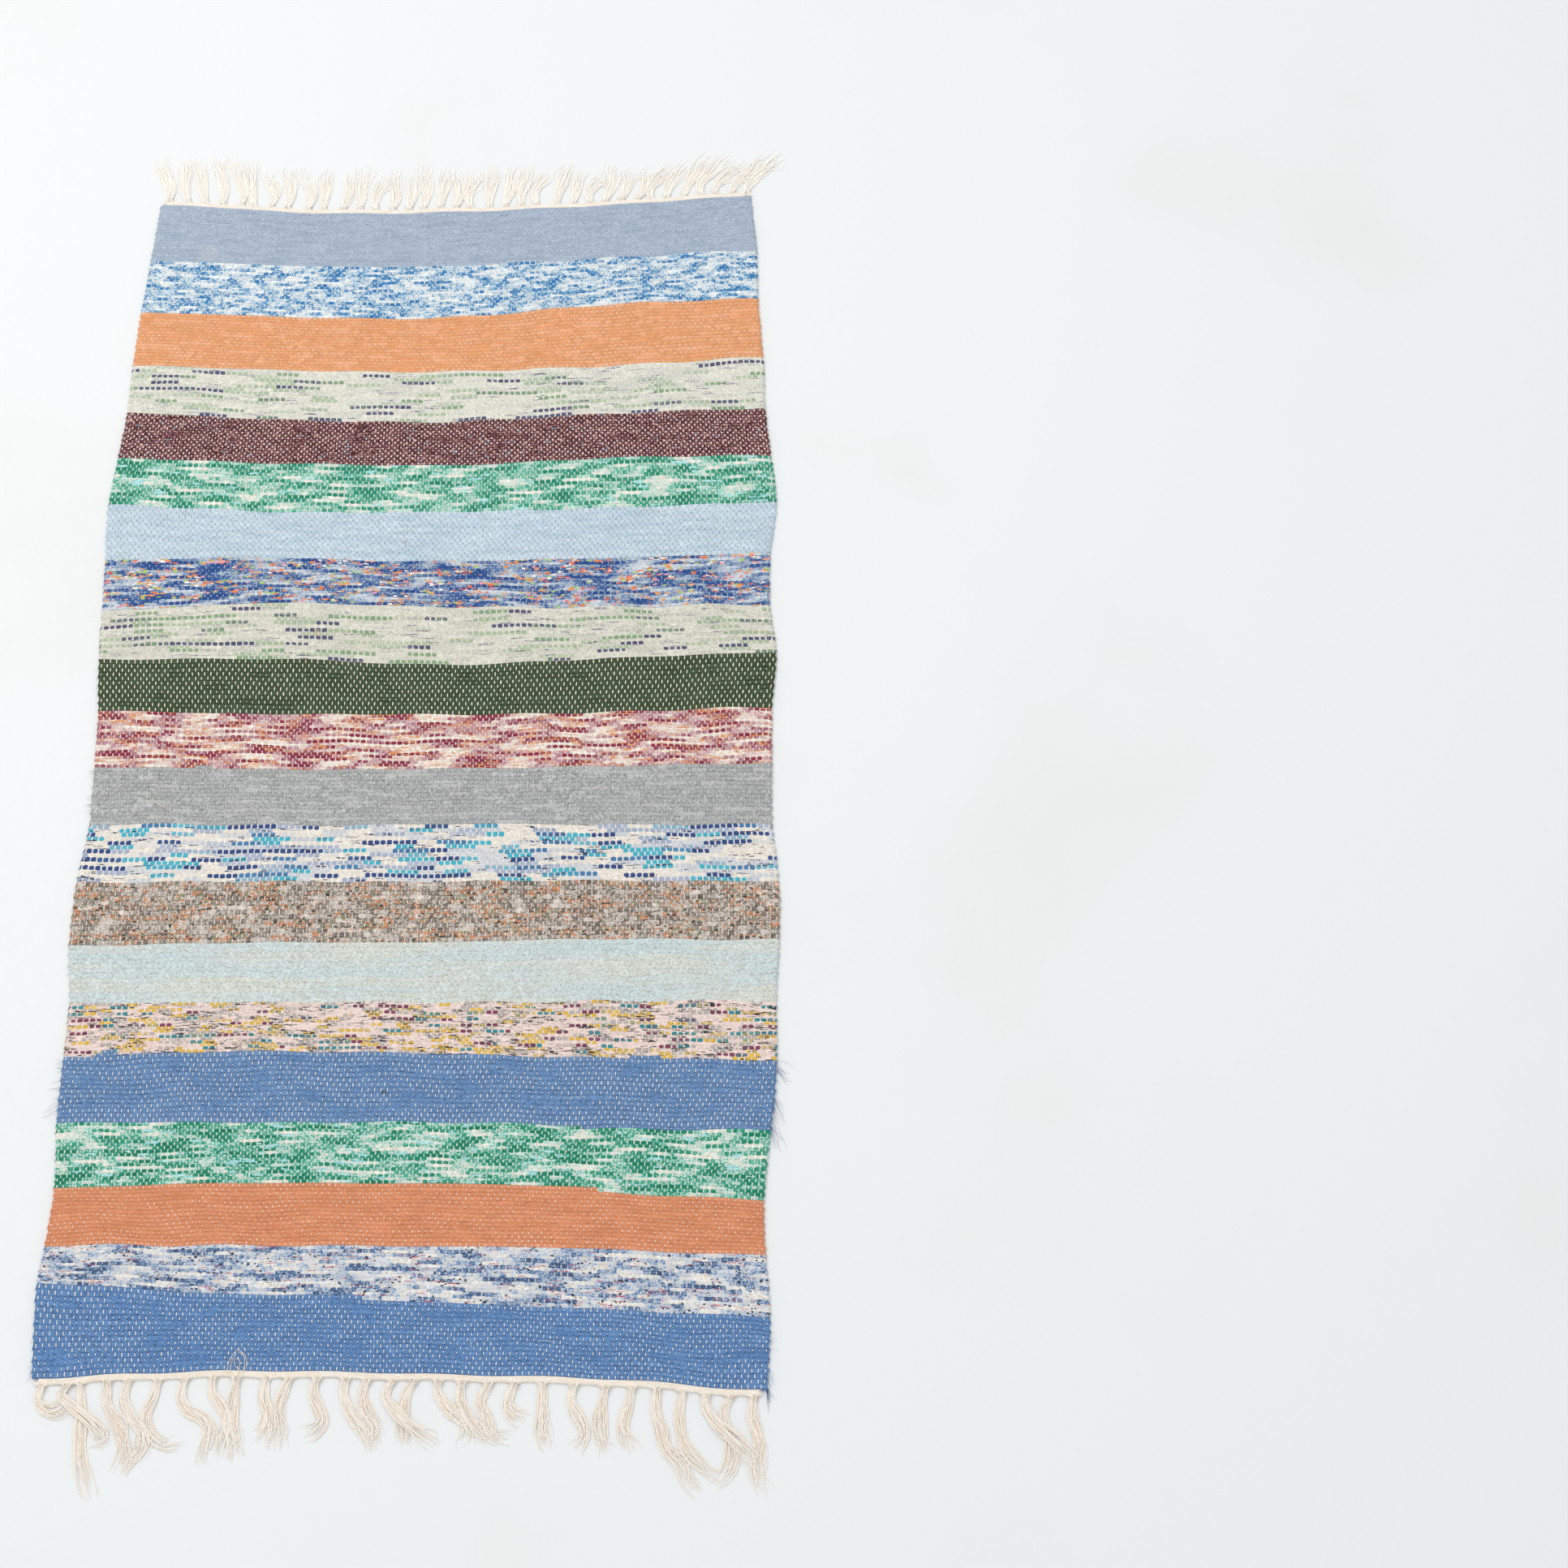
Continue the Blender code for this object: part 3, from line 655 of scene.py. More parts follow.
def weavePiece(name, ends, picks, shape, parts=3):
    # Closed strip of woven cloth: a fine grid above, a coarser one below, bridged all round.
    # The bake layout keeps each face its own room: the top in 2 x parts cells, the underside
    # in two below them, the rims beside the cell that they border.
    columns = 2 * (ends[1] - ends[0])
    rows = 2 * (picks[1] - picks[0])
    bm = bmesh.new()
    bmesh.ops.create_grid(bm, x_segments=columns, y_segments=rows, size=0.5)
    bmesh.ops.translate(bm, verts=bm.verts, vec=(0, 0, 1))
    topCount = len(bm.faces)
    bmesh.ops.create_grid(bm, x_segments=columns // 2, y_segments=rows // 2, size=0.5)
    bm.faces.ensure_lookup_table()
    bmesh.ops.reverse_faces(bm, faces=bm.faces[topCount:])
    bmesh.ops.bridge_loops(bm, edges=[edge for edge in bm.edges if edge.is_boundary])
    bmesh.ops.recalc_face_normals(bm, faces=bm.faces)
    mesh = newMesh(name, bm)

    flat = readBack(mesh.vertices, "co", 3)
    top = flat[:, 2] > 0.5
    end = ends[0] + np.round((flat[:, 0] + 0.5) * columns) / 2
    pick = picks[0] + np.round((0.5 - flat[:, 1]) * rows) / 2
    writeOut(mesh.vertices, "co", *shape(end, pick, top))

    corners = readBack(mesh.loops, "vertex_index", kind=np.int32)
    sizes = readBack(mesh.polygons, "loop_total", kind=np.int32)
    starts = readBack(mesh.polygons, "loop_start", kind=np.int32)
    faceOf = np.repeat(np.arange(len(sizes)), sizes)
    onTop, endAt, pickAt = top[corners], end[corners], pick[corners]

    def average(values):
        return np.add.reduceat(values.astype(float), starts) / sizes

    def outward(middles, limits):  # -1 or 1 for the rims at those limits, 0 elsewhere
        return (middles == limits[1]).astype(int) - (middles == limits[0])

    topShare, faceEnd, facePick = average(onTop), average(endAt), average(pickAt)
    isUnder = (topShare == 0)[faceOf]
    onRim = ((topShare > 0) & (topShare < 1))[faceOf] & ~onTop
    rimX = onRim * outward(faceEnd, ends)[faceOf]
    rimY = onRim * outward(facePick, picks)[faceOf]
    weaveMap = mesh.uv_layers.new(name="weave")
    writeOut(weaveMap.data, "uv", endAt + 0.8 * rimX, pickAt + 0.8 * rimY)

    pad, rim, underPart = 0.014, 0.010, 0.2      # shares of the bake layout's width
    topPart = (1 - underPart) / 2
    across = (endAt - ends[0]) / (ends[1] - ends[0])
    along = (pickAt - picks[0]) / (picks[1] - picks[0])
    faceAcross = ((faceEnd - ends[0]) / (ends[1] - ends[0]))[faceOf]
    cell = np.clip(np.floor(faceAcross * 2 * parts), 0, 2 * parts - 1)
    column, row = cell % parts, cell // parts
    topU = column / parts + pad + (across * 2 * parts - cell) * (1 / parts - 2 * pad)
    topV = underPart + row * topPart + pad + along * (topPart - 2 * pad)
    half = np.clip(np.floor(faceAcross * 2), 0, 1)
    underU = half / 2 + pad + (across * 2 - half) * (0.5 - 2 * pad)
    underV = pad + along * (underPart - 2 * pad)
    bakeMap = mesh.uv_layers.new(name="OFBake")
    writeOut(bakeMap.data, "uv", np.where(isUnder, underU, topU + rim * rimX),
             np.where(isUnder, underV, topV + rim * rimY))

    one, two = readBack(mesh.edges, "vertices", 2, np.int32).T
    atEnds = (pick[one] == pick[two]) & ((pick[one] == picks[0]) | (pick[one] == picks[1]))
    sharp = atEnds & (top[one] == top[two])
    mesh.attributes.new("sharp_edge", "BOOLEAN", "EDGE").data.foreach_set("value", sharp)
    mesh.polygons.foreach_set("use_smooth", np.ones(len(sizes), bool))
    return newPiece(name, mesh), faceEnd, facePick


# Picks that stop part-way: pick, first and last end, and the band whose rag it is
strayPicks = [
    (255, 10, 17, 17), (254, 12, 16, 17), (255, 176, 186, 17),    # above the cornflower band
    (185, 33, 39, 12),                                            # above the grey band
    (270, 163, 222, 17), (289, 170, 222, 18), (318, 99, 222, 20),
]
clothPieces = []
first = 0
for number, count in enumerate(cloth["pieces"]):
    last = first + count
    picks = (int(pickStarts[first]), int(pickStarts[last]))
    name = "wovenLength%02d" % (number + 1)
    piece, faceEnd, facePick = weavePiece(name, (0, cloth["ends"]), picks, clothShape)
    facePick = np.clip(np.floor(facePick), picks[0], picks[1] - 1)
    bandOf = np.searchsorted(pickStarts, facePick, side="right") - 1
    for pick, fromEnd, toEnd, band in strayPicks:
        bandOf[(facePick == pick) & (faceEnd > fromEnd) & (faceEnd < toEnd)] = band - 1
    used, indexOf = np.unique(bandOf, return_inverse=True)
    settle(piece, [ragMaterials[index] for index in used], "woven_ground")
    piece.data.polygons.foreach_set("material_index", indexOf.astype(np.int32))
    piece.data.update()
    clothPieces.append((piece, first, last))
    first = last
print("cloth woven:", len(clothPieces), "lengths,",
      sum(len(piece.data.polygons) for piece, _, _ in clothPieces), "faces")


# Cotton: the warp's own yarn, in the headings and the tassels. The far tassels' cotton is
# painted lighter, as painted light, since they lie nearer the key light.
cotton = dict(colour="f9f3ea", shade="f6e9da", lock="f9efe2", lockShade="f6e2c9",
              farColourPaintedLight="fffcf6", farShadePaintedLight="fdf6ec", farLockPaintedLightAndShade="fffaf1", farLockShadePaintedLightAndShade="fdf1e0",
              turns=26.0, lanes=(22.0, 2.5, 0.0))


def makeTwistedCotton(name, colour, shade, turns=cotton["turns"], combed=False):
    # Read from the UV map "strand": strand number and way round in u, way along in v
    material, tree, shader = startMaterial(name, Sheen_Weight=0.6, Specular_IOR_Level=0.2)
    strand = wire(addNode(tree, "UVMap", uv_map="strand"))
    around, along, _ = strand.split()
    if combed:      # many strands side by side instead of one twisted one
        lanes = noise(vectorStep("MULTIPLY", strand, cotton["lanes"]), 1.0, 1.0, "2D")
        twist = lanes.remap(0.32, 0.62, -1.0, 1.0)
    else:
        twist = ((around + along * turns) * (2 * pi)).calc("SINE")
    number = {"W": around.calc("FLOOR")}
    dice = wire(addNode(tree, "TexWhiteNoise", number, noise_dimensions="1D"))
    fluff = noise(wire(addNode(tree, "TexCoord"), "Object"), 700.0, 3.0)
    # Painted shade: the colour runs towards the shade colour in the twist's stripes, and at random
    # per strand; with no turns, as for fluff and threads, the shade lies on the strands' undersides
    mixed = dice * 0.5 + twist.remap(-1.0, 0.6, 1.0, 0.0) * 0.5
    blend(mixed, tint(colour), tint(shade)).plug(shader, "Base Color")
    fluff.remap(0.3, 0.7, 0.75, 0.92).plug(shader, "Roughness")
    addBump(shader, twist * 0.5 + fluff, 0.2, 0.3 * mm)
    return material


headingCotton = makeRag("headingCotton", "fbf3e7 50 f9e9d7 30 fdf7ef 20", 31, (-9.0, -8.0),
                        hard=False, tickShow=0.3, tickAlpha=0.5, tickColour="fdf9f2",
                        crease=0.2, besideTick=0.2, fuzz=0.3, grain=0.3, relief=0.5)
tasselCottons = {
    -1: [makeTwistedCotton("strandCotton", cotton["colour"], cotton["shade"]),
         # The lock cottons, here and below: the cotton painted warmer, as painted shade, where the
         # locks lie in shade under the single strands
         makeTwistedCotton("lockCottonPaintedShade", cotton["lock"], cotton["lockShade"], combed=True)],
    # The far tassels' cotton: the same cotton painted lighter, as painted light
    1: [makeTwistedCotton("farStrandCottonPaintedLight", cotton["farColourPaintedLight"], cotton["farShadePaintedLight"]),
        makeTwistedCotton("farLockCottonPaintedLightAndShade", cotton["farLockPaintedLightAndShade"], cotton["farLockShadePaintedLightAndShade"],
                          combed=True)],
}

# Tassels. Near ones: x of the knot and the bends of the lock from it, in millimetres.
nearLocks = [
    (-342.1, "-2,-14 10,-23 20,-21 24,-12"), (-318.1, "-6,-9 1,-15 19,-30 40,-50 27,-57"),
    (-305.6, "3,-27 4,-59 9,-84 18,-107"), (-280.3, "0,-14 8,-34 21,-58 20,-72 13,-88"),
    (-260.2, "-3,-16 6,-35 18,-51 17,-67 4,-86"), (-232.0, "-3,-16 -10,-34 -5,-48 10,-61 27,-56"),
    (-206.7, "-3,-16 4,-29 19,-37 26,-52 22,-79"), (-179.7, "0,-13 10,-27 17,-42 14,-58 14,-78"),
    (-157.6, "-1,-13 -1,-29 -2,-45 3,-58 8,-75"), (-129.3, "-1,-16 4,-34 2,-47 -1,-61"),
    (-107.2, "-6,-15 -10,-34 -8,-50 -7,-65"), (-80.4, "-3,-11 2,-27 7,-40 1,-51 -9,-56"),
    (-53.6, "-1,-13 6,-32 18,-47 29,-66"), (-33.0, "-4,-13 1,-29 9,-45 11,-64"),
    (-9.1, "-6,-13 3,-26 14,-39 29,-50 45,-61"), (11.5, "-6,-11 -8,-27 -9,-40 -5,-61"),
    (35.1, "0,-11 12,-27 27,-42 29,-61"), (57.3, "-1,-17 7,-33 19,-46 26,-59"),
    (82.6, "-7,-17 -2,-31 4,-47 21,-54"), (107.8, "-6,-17 -1,-28 10,-36"),
    (134.0, "0,-16 0,-37 1,-50 5,-65"), (164.2, "-3,-15 6,-31 12,-46 3,-65"),
    (194.4, "-3,-14 -5,-32 -3,-48 3,-61"), (219.6, "-5,-20 -8,-37 -4,-50 1,-60"),
    (243.1, "0,-20 5,-41 12,-58 25,-76 40,-102"), (268.2, "-4,-22 -1,-42 7,-59 22,-75 33,-80"),
    (290.0, "0,-12 10,-26 23,-39 38,-56 46,-65"), (313.4, "-7,-15 -2,-34 0,-53 -2,-69 -15,-84"),
    (335.2, "-1,-20 6,-43 3,-63 9,-91"),
]
farKnots = [-334, -312, -292, -272, -250, -235, -215, -197, -173, -154, -132, -112, -94, -75,
            -56, -39, -19, -1, 16, 38, 56, 75, 93, 116, 135, 155, 172, 190, 209, 225, 243, 263,
            283, 299, 319, 338]
farLean = [-17, -13, -4, 4, 6, 5, 4, 10, 14, 20, 32, 46]     # along the far end, left to right
knotPlaces = {-1: [lock[0] for lock in nearLocks], 1: farKnots}

heading = dict(ends=(2, 220), picks=6, depth=6.4 * mm, gap=0.05 * mm, inner=3.3 * mm,
               outer=2.6 * mm, relief=0.6 * mm, under=0.15 * mm, rim=0.45,
               bulge=1.3 * mm, bulgeWidth=5 * mm,             # drawn out at each knot
               wave=0.3 * mm)


def headingEdge(end, side):  # plan of the cloth's end, side 1 for far and -1 for near
    return clothPlan(end, np.full(len(end), 0.0 if side > 0 else float(lastPick)))


def headingShape(side):
    knots = np.array(knotPlaces[side]) * mm

    def shape(end, pick, top):
        x, y = headingEdge(end, side)
        part = pick / heading["picks"]
        fromKnot = np.min(np.abs(x[:, None] - knots), axis=1)
        pulled = np.exp(-(fromKnot / heading["bulgeWidth"]) ** 2) - 0.5
        out = heading["gap"] + heading["depth"] * part + heading["bulge"] * pulled * part ** 2
        out = out + heading["wave"] * unevenness(x, y * 0, 21, 0.05) * part
        fromRim = np.minimum(end - heading["ends"][0], heading["ends"][1] - end)
        fromRim = np.minimum(np.clip(heading["picks"] - pick, 0, 1), np.clip(fromRim, 0, 1))
        high = heading["inner"] + (heading["outer"] - heading["inner"]) * part
        high = high + heading["relief"] * beadHeight(end, pick)
        high = high * (heading["rim"] + (1 - heading["rim"]) * roundOff(fromRim))
        return x, y + side * out, np.where(top, high, heading["under"])
    return shape


headings = {}
for name, side, node in (("farHeading", 1, "far_heading_fringe"),
                         ("nearHeading", -1, "near_heading_fringe")):
    picks = (0, heading["picks"])
    piece = weavePiece(name, heading["ends"], picks, headingShape(side))[0]
    if side > 0:
        piece.data.flip_normals()
    headings[side] = settle(piece, [headingCotton], node)
print("headings woven")


# Strands: many copies of one tube, each bent along its own path
def strandMesh(name, paths, radii, sides=4, kinds=None, around=None, flatness=1.0, smooth=True):
    count, rings = radii.shape
    bm = bmesh.new()
    bmesh.ops.create_circle(bm, cap_ends=True, segments=sides, radius=1.0)
    face = bm.faces[:][0]
    for _ in range(rings - 1):
        made = bmesh.ops.extrude_face_region(bm, geom=[face])["geom"]
        face = [item for item in made if isinstance(item, bmesh.types.BMFace)][0]
        bmesh.ops.translate(bm, verts=face.verts, vec=(0, 0, 1))
    bmesh.ops.recalc_face_normals(bm, faces=bm.faces)
    strandMap = bm.loops.layers.uv.new("strand")
    bakeMap = bm.loops.layers.uv.new("OFBake")
    for face in bm.faces:
        isCap = len(face.verts) == sides and len({round(v.co.z) for v in face.verts}) == 1
        angles = {loop: round(np.arctan2(loop.vert.co.y, loop.vert.co.x) * sides / (2 * pi)) % sides
                  for loop in face.loops}
        wraps = not isCap and {0, sides - 1} <= set(angles.values())
        for loop, angle in angles.items():
            turn = (angle + (sides if wraps and angle == 0 else 0)) / sides
            level = round(loop.vert.co.z) / (rings - 1)
            if isCap:
                middle = 0.3 if level < 0.5 else 0.7
                loop[strandMap].uv = (0.5, level)
                loop[bakeMap].uv = (middle + 0.14 * loop.vert.co.x, 0.93 + 0.05 * loop.vert.co.y)
            else:
                loop[strandMap].uv = (0.02 + 0.96 * turn, level)
                loop[bakeMap].uv = (0.04 + 0.92 * turn, 0.02 + 0.84 * level)
        face.smooth = smooth and not isCap
    tube = newMesh("tube", bm)
    bm = bmesh.new()
    for _ in range(count):
        bm.from_mesh(tube)
    mesh = newMesh(name, bm)

    flat = readBack(tube.vertices, "co", 3)
    ring = np.round(flat[:, 2]).astype(int)
    tangent = np.gradient(paths, axis=1)
    tangent /= np.linalg.norm(tangent, axis=2, keepdims=True)
    up = np.zeros((count, 1, 3)) + (0, 0, 1) if around is None else around[:, None, :]
    sideways = np.cross(tangent, up)
    sideways /= np.maximum(np.linalg.norm(sideways, axis=2, keepdims=True), 1e-9)
    upward = np.cross(tangent, sideways)
    flatness = np.broadcast_to(flatness, count)[:, None, None]
    points = (paths[:, ring] + radii[:, ring, None]
              * (sideways[:, ring] * flat[None, :, 0, None]
                 + upward[:, ring] * flat[None, :, 1, None] * flatness))
    writeOut(mesh.vertices, "co", points)

    # Each copy is told from the others in "strand" and has its own cell in the bake layout
    grid = int(np.ceil(np.sqrt(count)))
    number = np.repeat(np.arange(count), len(tube.loops))
    data = mesh.uv_layers["strand"].data
    writeOut(data, "uv", readBack(data, "uv", 2) + np.stack([number, number * 0], 1))
    data = mesh.uv_layers["OFBake"].data
    cell = np.stack([number % grid, number // grid], 1)
    writeOut(data, "uv", (readBack(data, "uv", 2) + cell) / grid)
    if kinds is not None:
        faceKinds = np.repeat(np.array(kinds, np.int32), len(tube.polygons))
        mesh.polygons.foreach_set("material_index", faceKinds)
    bpy.data.meshes.remove(tube)
    mesh.update()
    return newPiece(name, mesh)


tassel = dict(
    rings=15, thickness=0.52 * mm, flatness=0.42, locks=3, wander=1.4 * mm,
    loners=0.12,                                   # share of strands that curl away
    bodies=3, bodyWidth=0.44, bodyFlatness=0.20,   # the full lock under the single strands
    start=-2.0 * mm, gather=2.4 * mm,              # from inside the heading to the knot
    knotSize=2.7 * mm, wraps=4, wrapThickness=0.72 * mm,
    lift=2.6 * mm,                                 # of a lock that lies over the next one
    farReach=(48, 68))
tasselRows = {     # fan is the half width at the tips
    -1: dict(name="nearTassels", node="near_heading_fringe", strands=19, fan=7.4 * mm,
             spacing=24.0 * mm, lifted=(1, 14, 26)),
    1: dict(name="farTassels", node="far_heading_fringe", strands=14, fan=9.4 * mm,
            spacing=19.4 * mm, lifted=()),
}


def bendsOf(side, number, dice):  # where a tassel's lock bends, in millimetres from its knot
    if side < 0:
        return readPoints(nearLocks[number][1])
    share = number / (len(farKnots) - 1)
    lean = through(farLean, share * (len(farLean) - 1)) + dice.uniform(-5, 5)
    reach = dice.uniform(*tassel["farReach"]) * (1.1 - 0.25 * share)
    curl = dice.uniform(-5, 5)
    return np.array([[lean * 0.12 + curl, reach * 0.28], [lean * 0.4 + curl * 0.6, reach * 0.55],
                     [lean * 0.7 - curl * 0.5, reach * 0.8], [lean, reach]])


def followed(line, done, place):  # the line's x and y that far along it
    return np.stack([np.interp(place, done, line[:, axis]) for axis in (0, 1)], 1)


def strandsOfTassel(knot, bends, side, dice, lift):
    rings, gather, start = tassel["rings"], tassel["gather"], tassel["start"]
    bodies, locks = tassel["bodies"], tassel["locks"]
    count, fan, spacing = (tasselRows[side][key] for key in ("strands", "fan", "spacing"))
    along = np.linspace(0, 1, rings)
    bends = np.vstack([[0.0, 0.0], bends]) * mm
    dense = np.linspace(0, len(bends) - 1, 200)
    line = np.stack([through(bends[:, axis], dense) for axis in (0, 1)], 1)
    steps = np.linalg.norm(np.diff(line, axis=0), axis=1)
    done = np.concatenate([[0], np.cumsum(steps)])
    reach = done[-1]
    course = np.gradient(line, axis=0)
    course = course / np.linalg.norm(course, axis=1, keepdims=True)
    paths = np.zeros((count, rings, 3))
    radii = np.zeros((count, rings))
    places = dice.permutation(np.linspace(-1, 1, count - bodies))
    places = places + dice.uniform(-0.06, 0.06, count - bodies)
    places = np.concatenate([np.linspace(-0.6, 0.6, bodies), places])
    phases = dice.uniform(0, 2 * pi, locks)
    widthAt = [start, 0, gather, gather + 9 * mm, gather + reach * 0.55, gather + reach]
    widths = [spacing * 0.36, spacing * 0.24, 2.4 * mm, 4.1 * mm, fan * 0.8, fan]
    for number, fromPlace in enumerate(places):
        isBody = number < bodies
        lock = min(int((fromPlace + 1) / 2 * locks), locks - 1)
        toPlace = fromPlace + dice.uniform(-0.45, 0.45) * (0.5 if isBody else 1)
        loner = dice.random() < tassel["loners"] and not isBody
        length = reach * (dice.uniform(0.72, 0.88) if isBody else dice.uniform(0.82, 1.05))
        way = start + (length + gather - start) * along ** 1.2
        onLine = np.clip(way - gather, 0, None)
        ahead = followed(course, done, onLine)
        ahead = ahead / np.linalg.norm(ahead, axis=1, keepdims=True)
        centre = followed(line, done, onLine) + ahead * np.clip(onLine - reach, 0, None)[:, None]
        across = np.stack([-ahead[:, 1], ahead[:, 0]], 1)
        before = way < gather
        centre[before, 1] -= side * (gather - way[before])
        across[before] = (-side, 0.0)
        opened = np.clip((way - gather) / reach, 0, 1)
        half = np.interp(way, widthAt, widths)
        place = fromPlace + (toPlace - fromPlace) * opened
        sway = opened * tassel["wander"] * np.sin(way / (8 * mm) + phases[lock])
        phase = dice.uniform(0, 2 * pi)
        curl = 4.5 if loner else 0.0 if isBody else 0.8
        sway = sway + (0.15 + opened) * mm * curl * np.sin(way / (6 * mm) + phase)
        layer = number % 2 + dice.uniform(-0.25, 0.25)
        if isBody:
            layer = -0.3
        height = 1.0 * mm + (0.45 + layer) * 0.65 * mm * (1 - 0.5 * opened)
        atKnot = np.clip(1 - np.abs(way - gather) / (6 * mm), 0, 1)
        height = height + (2.2 * mm + (layer - 0.5) * mm) * atKnot
        height = np.where(way < 0.5 * mm, 2.0 * mm, height)
        height = height + lift * np.exp(-((way / reach - 0.6) / 0.25) ** 2)
        taper = np.interp(along, [0, 0.85, 1], [1.0, 0.85, 0.4])
        radii[number] = tassel["thickness"] * dice.uniform(0.8, 1.2) * taper
        lowest = radii[number] * 1.02
        if isBody:
            narrowed = np.interp(along, [0, 0.55, 1], [1.0, 0.85, 0.06])
            radii[number] = half * tassel["bodyWidth"] * narrowed
            lowest = 0.1 * mm + radii[number] * tassel["bodyFlatness"]
            height = height - 0.6 * mm
        paths[number, :, :2] = knot + (centre + across * (place * half + sway)[:, None])
        paths[number, :, 2] = np.maximum(height, lowest)
    return paths, radii


def wrapsOfKnot(knot, side, dice):
    rings, count = tassel["rings"], tassel["wraps"]
    paths = np.zeros((count, rings, 3))
    for number in range(count):
        turn = dice.uniform(0, 2 * pi) + np.linspace(0, 1.1 * 2 * pi, rings)
        tilt = dice.uniform(-0.5, 0.5)
        wide = tassel["knotSize"] * dice.uniform(0.85, 1.15)
        offset = (number - (count - 1) / 2) * mm
        paths[number, :, 0] = knot[0] + wide * 1.15 * np.cos(turn)
        paths[number, :, 1] = knot[1] + side * offset + tilt * wide * np.cos(turn)
        paths[number, :, 2] = np.maximum(2.5 * mm + wide * 0.62 * np.sin(turn), 0.8 * mm)
    return paths, np.full((count, rings), tassel["wrapThickness"])


def tasselPiece(side):
    row = tasselRows[side]
    dice = np.random.default_rng(70 + side)
    parts, kinds = [], []
    # Each knot's place: its warp end from its x, then the plan of the heading there
    warpEnds = np.arange(heading["ends"][0], heading["ends"][1] + 1.0)
    ends = np.interp(np.array(knotPlaces[side]) * mm, headingEdge(warpEnds, side)[0], warpEnds)
    edgeX, edgeY = headingEdge(ends, side)
    outer = heading["gap"] + heading["depth"] + tassel["gather"] * 0.5
    for number in range(len(ends)):
        knot = (edgeX[number], edgeY[number] + side * outer)
        lift = tassel["lift"] if number in row["lifted"] else 0.0
        bends = bendsOf(side, number, dice)
        parts.append(strandsOfTassel(knot, bends, side, dice, lift))
        parts.append(wrapsOfKnot(knot, side, dice))
        plain = row["strands"] - tassel["bodies"]
        kinds += [1] * tassel["bodies"] + [0] * plain + [2] * tassel["wraps"]
    kinds = np.array(kinds)
    piece = strandMesh(row["name"], np.concatenate([paths for paths, _ in parts]),
                       np.concatenate([radii for _, radii in parts]), kinds=kinds == 1,
                       around=np.where((kinds == 2)[:, None], (0.0, 1.0, 0.0), (0.0, 0.0, 1.0)),
                       flatness=np.where(kinds == 1, tassel["bodyFlatness"], tassel["flatness"]),
                       smooth=False)
    return settle(piece, tasselCottons[side], row["node"])


tassels = {side: tasselPiece(side) for side in (-1, 1)}
print("tassels knotted:", len(nearLocks), "near,", len(farKnots), "far")


# Loose fibres at the selvedges and stray threads: place and lean in millimetres
fluff = dict(thickness=0.14 * mm, rings=7, threadRings=40)
# Each colour with a darker one, painted as shade on the fibres' undersides and mixed at random per
# fibre
fluffColours = [("cornflowerFluff", "5271aa", "3d5792"), ("mossFluff", "4a5840", "3a4632"),
                ("greyFluff", "a3a6a6", "8a8d8e"), ("brownFluff", "9a8a7a", "6e5f52"),
                ("paleFluff", "e9e6de", "c9cbd0"), ("skyFluff", "b4c6d4", "93a9bb"),
                ("cottonFluff", "fbf5ea", "e9dccb")]
# Left or right, y, spread along the edge, hairs, reach out and down, and colour
tufts = [
    (1, -377, 5, 12, 14, -16, 0), (1, -413, 6, 14, 9, -24, 0), (1, -439, 5, 10, 12, -26, 0),
    (1, -392, 14, 10, 5, -7, 0), (-1, -372, 8, 8, 9, 2, 0), (-1, -397, 10, 8, 10, -3, 0),
    (-1, -418, 8, 8, 12, -8, 0), (1, -655, 12, 8, 7, -5, 0), (1, -690, 12, 14, 6, -12, 0),
    (1, -708, 5, 14, 3, -20, 0), (-1, -640, 22, 14, 5, -3, 0), (-1, -685, 12, 8, 5, -5, 0),
    (-1, 62, 26, 34, 3.5, -1, 1), (1, 62, 26, 22, 3, -2, 1), (-1, -70, 28, 30, 8, -2, 2),
    (1, -75, 28, 18, 5, -3, 2), (-1, -205, 28, 22, 4, -1, 3), (1, -205, 28, 20, 4, -3, 3),
    (-1, 437, 24, 10, 3, 0, 3), (1, 437, 24, 12, 3.5, -2, 3), (-1, 250, 26, 14, 4, 0, 5),
    (1, 250, 26, 10, 4, -2, 5), (-1, -273, 26, 12, 5, -3, 4), (1, -273, 26, 12, 5, -3, 4),
    (-1, 585, 26, 8, 2.5, 0, 4), (1, 585, 26, 8, 3, -1, 4), (-1, -470, 28, 10, 3.5, 0, 4),
    (1, -470, 28, 10, 3, -2, 4), (-1, 655, 26, 6, 2.5, 0, 5), (1, 655, 26, 8, 3, -1, 5),
]
# Threads on top of the cloth: points in millimetres, thickness in millimetres and colour
threads = [
    ("-166,-692 -165.6,-683 -161.6,-673 -156.5,-670 -149.8,-676 -148,-685 -152,-690 -158.4,-686 "
     "-160.2,-680.6 -157.6,-677.5 -154.5,-682 -155.7,-692 -158.7,-705 -163.7,-717 -160.1,-728",
     0.32, 6),
    ("-163,-694 -163,-684 -160,-675 -155,-672 -151,-677 -150,-686 -153,-697 -157,-708 -160,-716",
     0.28, 6),
    ("-289.8,-65 -286.4,-70 -287.3,-77 -279.6,-84 -274,-87 -267.9,-90", 0.30, 6),
    ("-112.5,-417 -108.2,-416.3 -103.7,-418.5", 0.25, 4), ("64,-662 65.9,-670.4", 0.25, 4),
    ("129,-664.7 135,-663.8 142,-664.8", 0.30, 4),
]


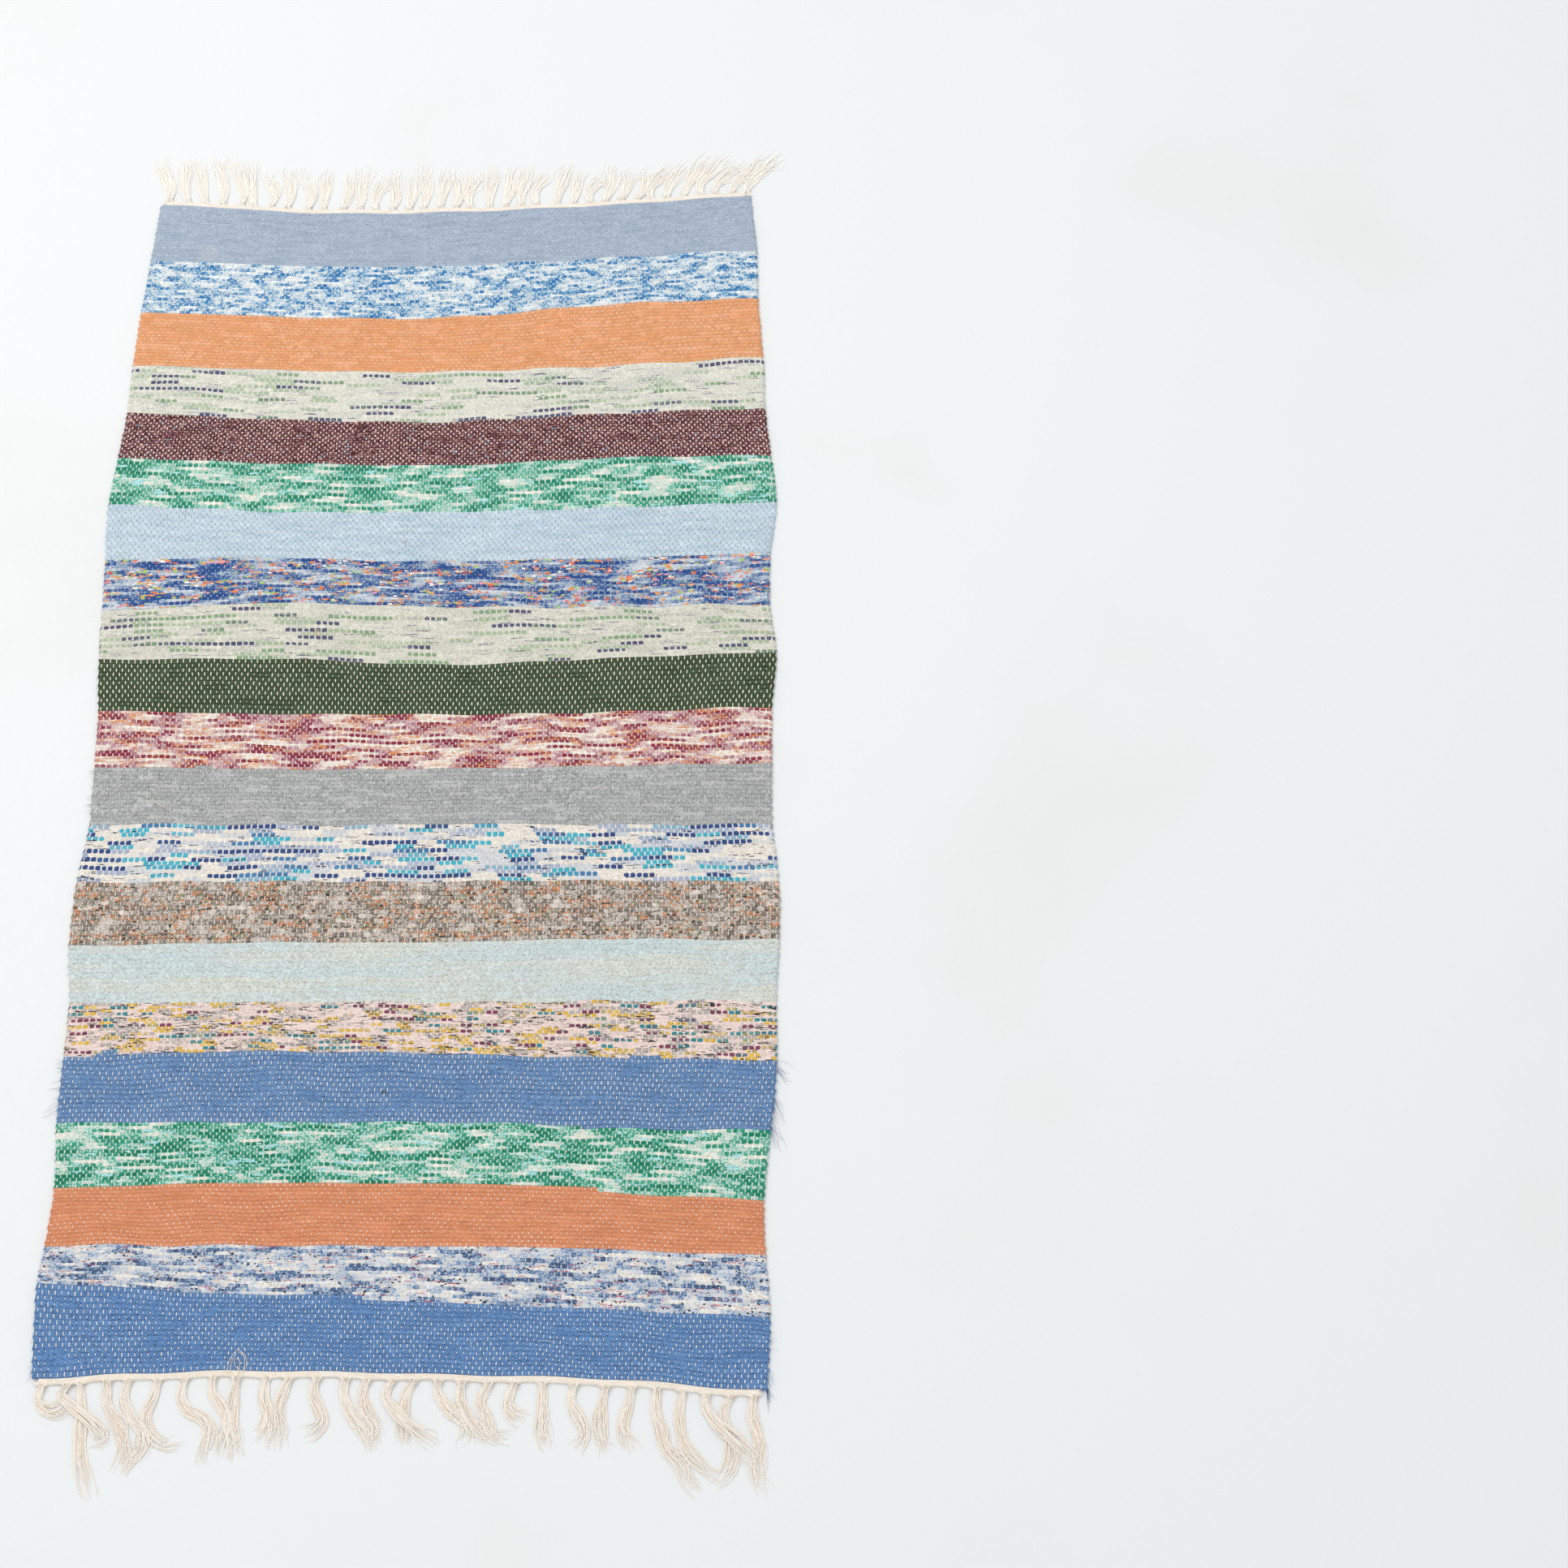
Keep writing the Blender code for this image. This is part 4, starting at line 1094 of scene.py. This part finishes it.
def tuftPaths(chosen, dice):
    t = np.linspace(0, 1, fluff["rings"])
    paths, colours = [], []
    for side, middle, spread, count, out, down, colour in chosen:
        for _ in range(count):
            y = (middle + dice.uniform(-spread, spread)) * mm
            pick = float(np.interp(-y, -borderTable[:, 3 if side < 0 else 5], pickStarts))
            row = np.array([min(max(pick, 0.5), lastPick - 0.5)])
            root = clothPlan(np.array([0.6 if side < 0 else cloth["ends"] - 0.6]), row)
            reach = out * dice.uniform(0.3, 1.3) * mm
            drop = down * dice.uniform(0.3, 1.3) * mm
            curl = dice.uniform(-0.35, 0.35) * (abs(reach) + abs(drop))
            swing = np.sin(t * dice.uniform(2, 5) + dice.uniform(0, 6))
            heights = [dice.uniform(1.5, 3.5), dice.uniform(1, 3), dice.uniform(0.2, 2.0)]
            x = root[0] + side * (reach * t + 0.15 * reach * swing * t)
            y = root[1] + drop * t ** 1.3 + curl * t * (1 - t) + 0.1 * curl * swing
            paths.append(np.stack([x, y, np.interp(t, [0, 0.5, 1], heights) * mm], 1))
            colours.append(colour)
    return paths, colours


def fibrePiece(name, paths, radii, kinds, sides, suffix=""):
    piece = strandMesh(name, np.array(paths), np.array(radii), sides, kinds)
    materials = [makeTwistedCotton(title + suffix, colour, shade, 0.0)
                 for title, colour, shade in fluffColours]
    return settle(piece, materials)


def fluffPiece(name, chosen, seed):
    dice = np.random.default_rng(seed)
    paths, kinds = tuftPaths(chosen, dice)
    taper = np.linspace(1, 0.5, fluff["rings"])
    radii = [fluff["thickness"] * dice.uniform(0.6, 1.2) * taper for _ in paths]
    return fibrePiece(name, paths, radii, kinds, 3)


def threadPiece(name):
    paths, radii, kinds = [], [], []
    for text, size, kind in threads:
        points = readPoints(text) * mm
        at = np.linspace(0, len(points) - 1, fluff["threadRings"])
        x, y = through(points[:, 0], at), through(points[:, 1], at)
        beyond = np.clip((-690.5 * mm - y) / (10 * mm), 0, 1)     # past the cloth's end
        height = (5.1 * mm + 0.5 * mm * np.sin(at * 1.9)) * (1 - beyond) + 3.9 * mm * beyond
        paths.append(np.stack([x, y, height], 1))
        radii.append(np.full(len(at), size * mm))
        kinds.append(kind)
    return fibrePiece(name, paths, radii, kinds, 4, "Thread")


farFluff = fluffPiece("farSelvedgeFluff", [tuft for tuft in tufts if tuft[1] > -100], 81)
nearFluff = fluffPiece("nearSelvedgeFluff", [tuft for tuft in tufts if tuft[1] < -100], 82)
looseThreads = threadPiece("looseThreads")
print("selvedge fluff and loose threads laid")

# What hangs on each end of the cloth, and the border rows that each length of cloth spans
hangingOn = {0: [headings[1], tassels[1], farFluff],
             len(bands): [headings[-1], tassels[-1], nearFluff, looseThreads]}
for piece, first, last in clothPieces:
    middle = borderTable[first:last + 1]

pieces = [piece for piece, _, _ in clothPieces] + hangingOn[0] + hangingOn[len(bands)]
print("triangles in all:", sum(sum(len(face.vertices) - 2 for face in piece.data.polygons)
                               for piece in pieces))
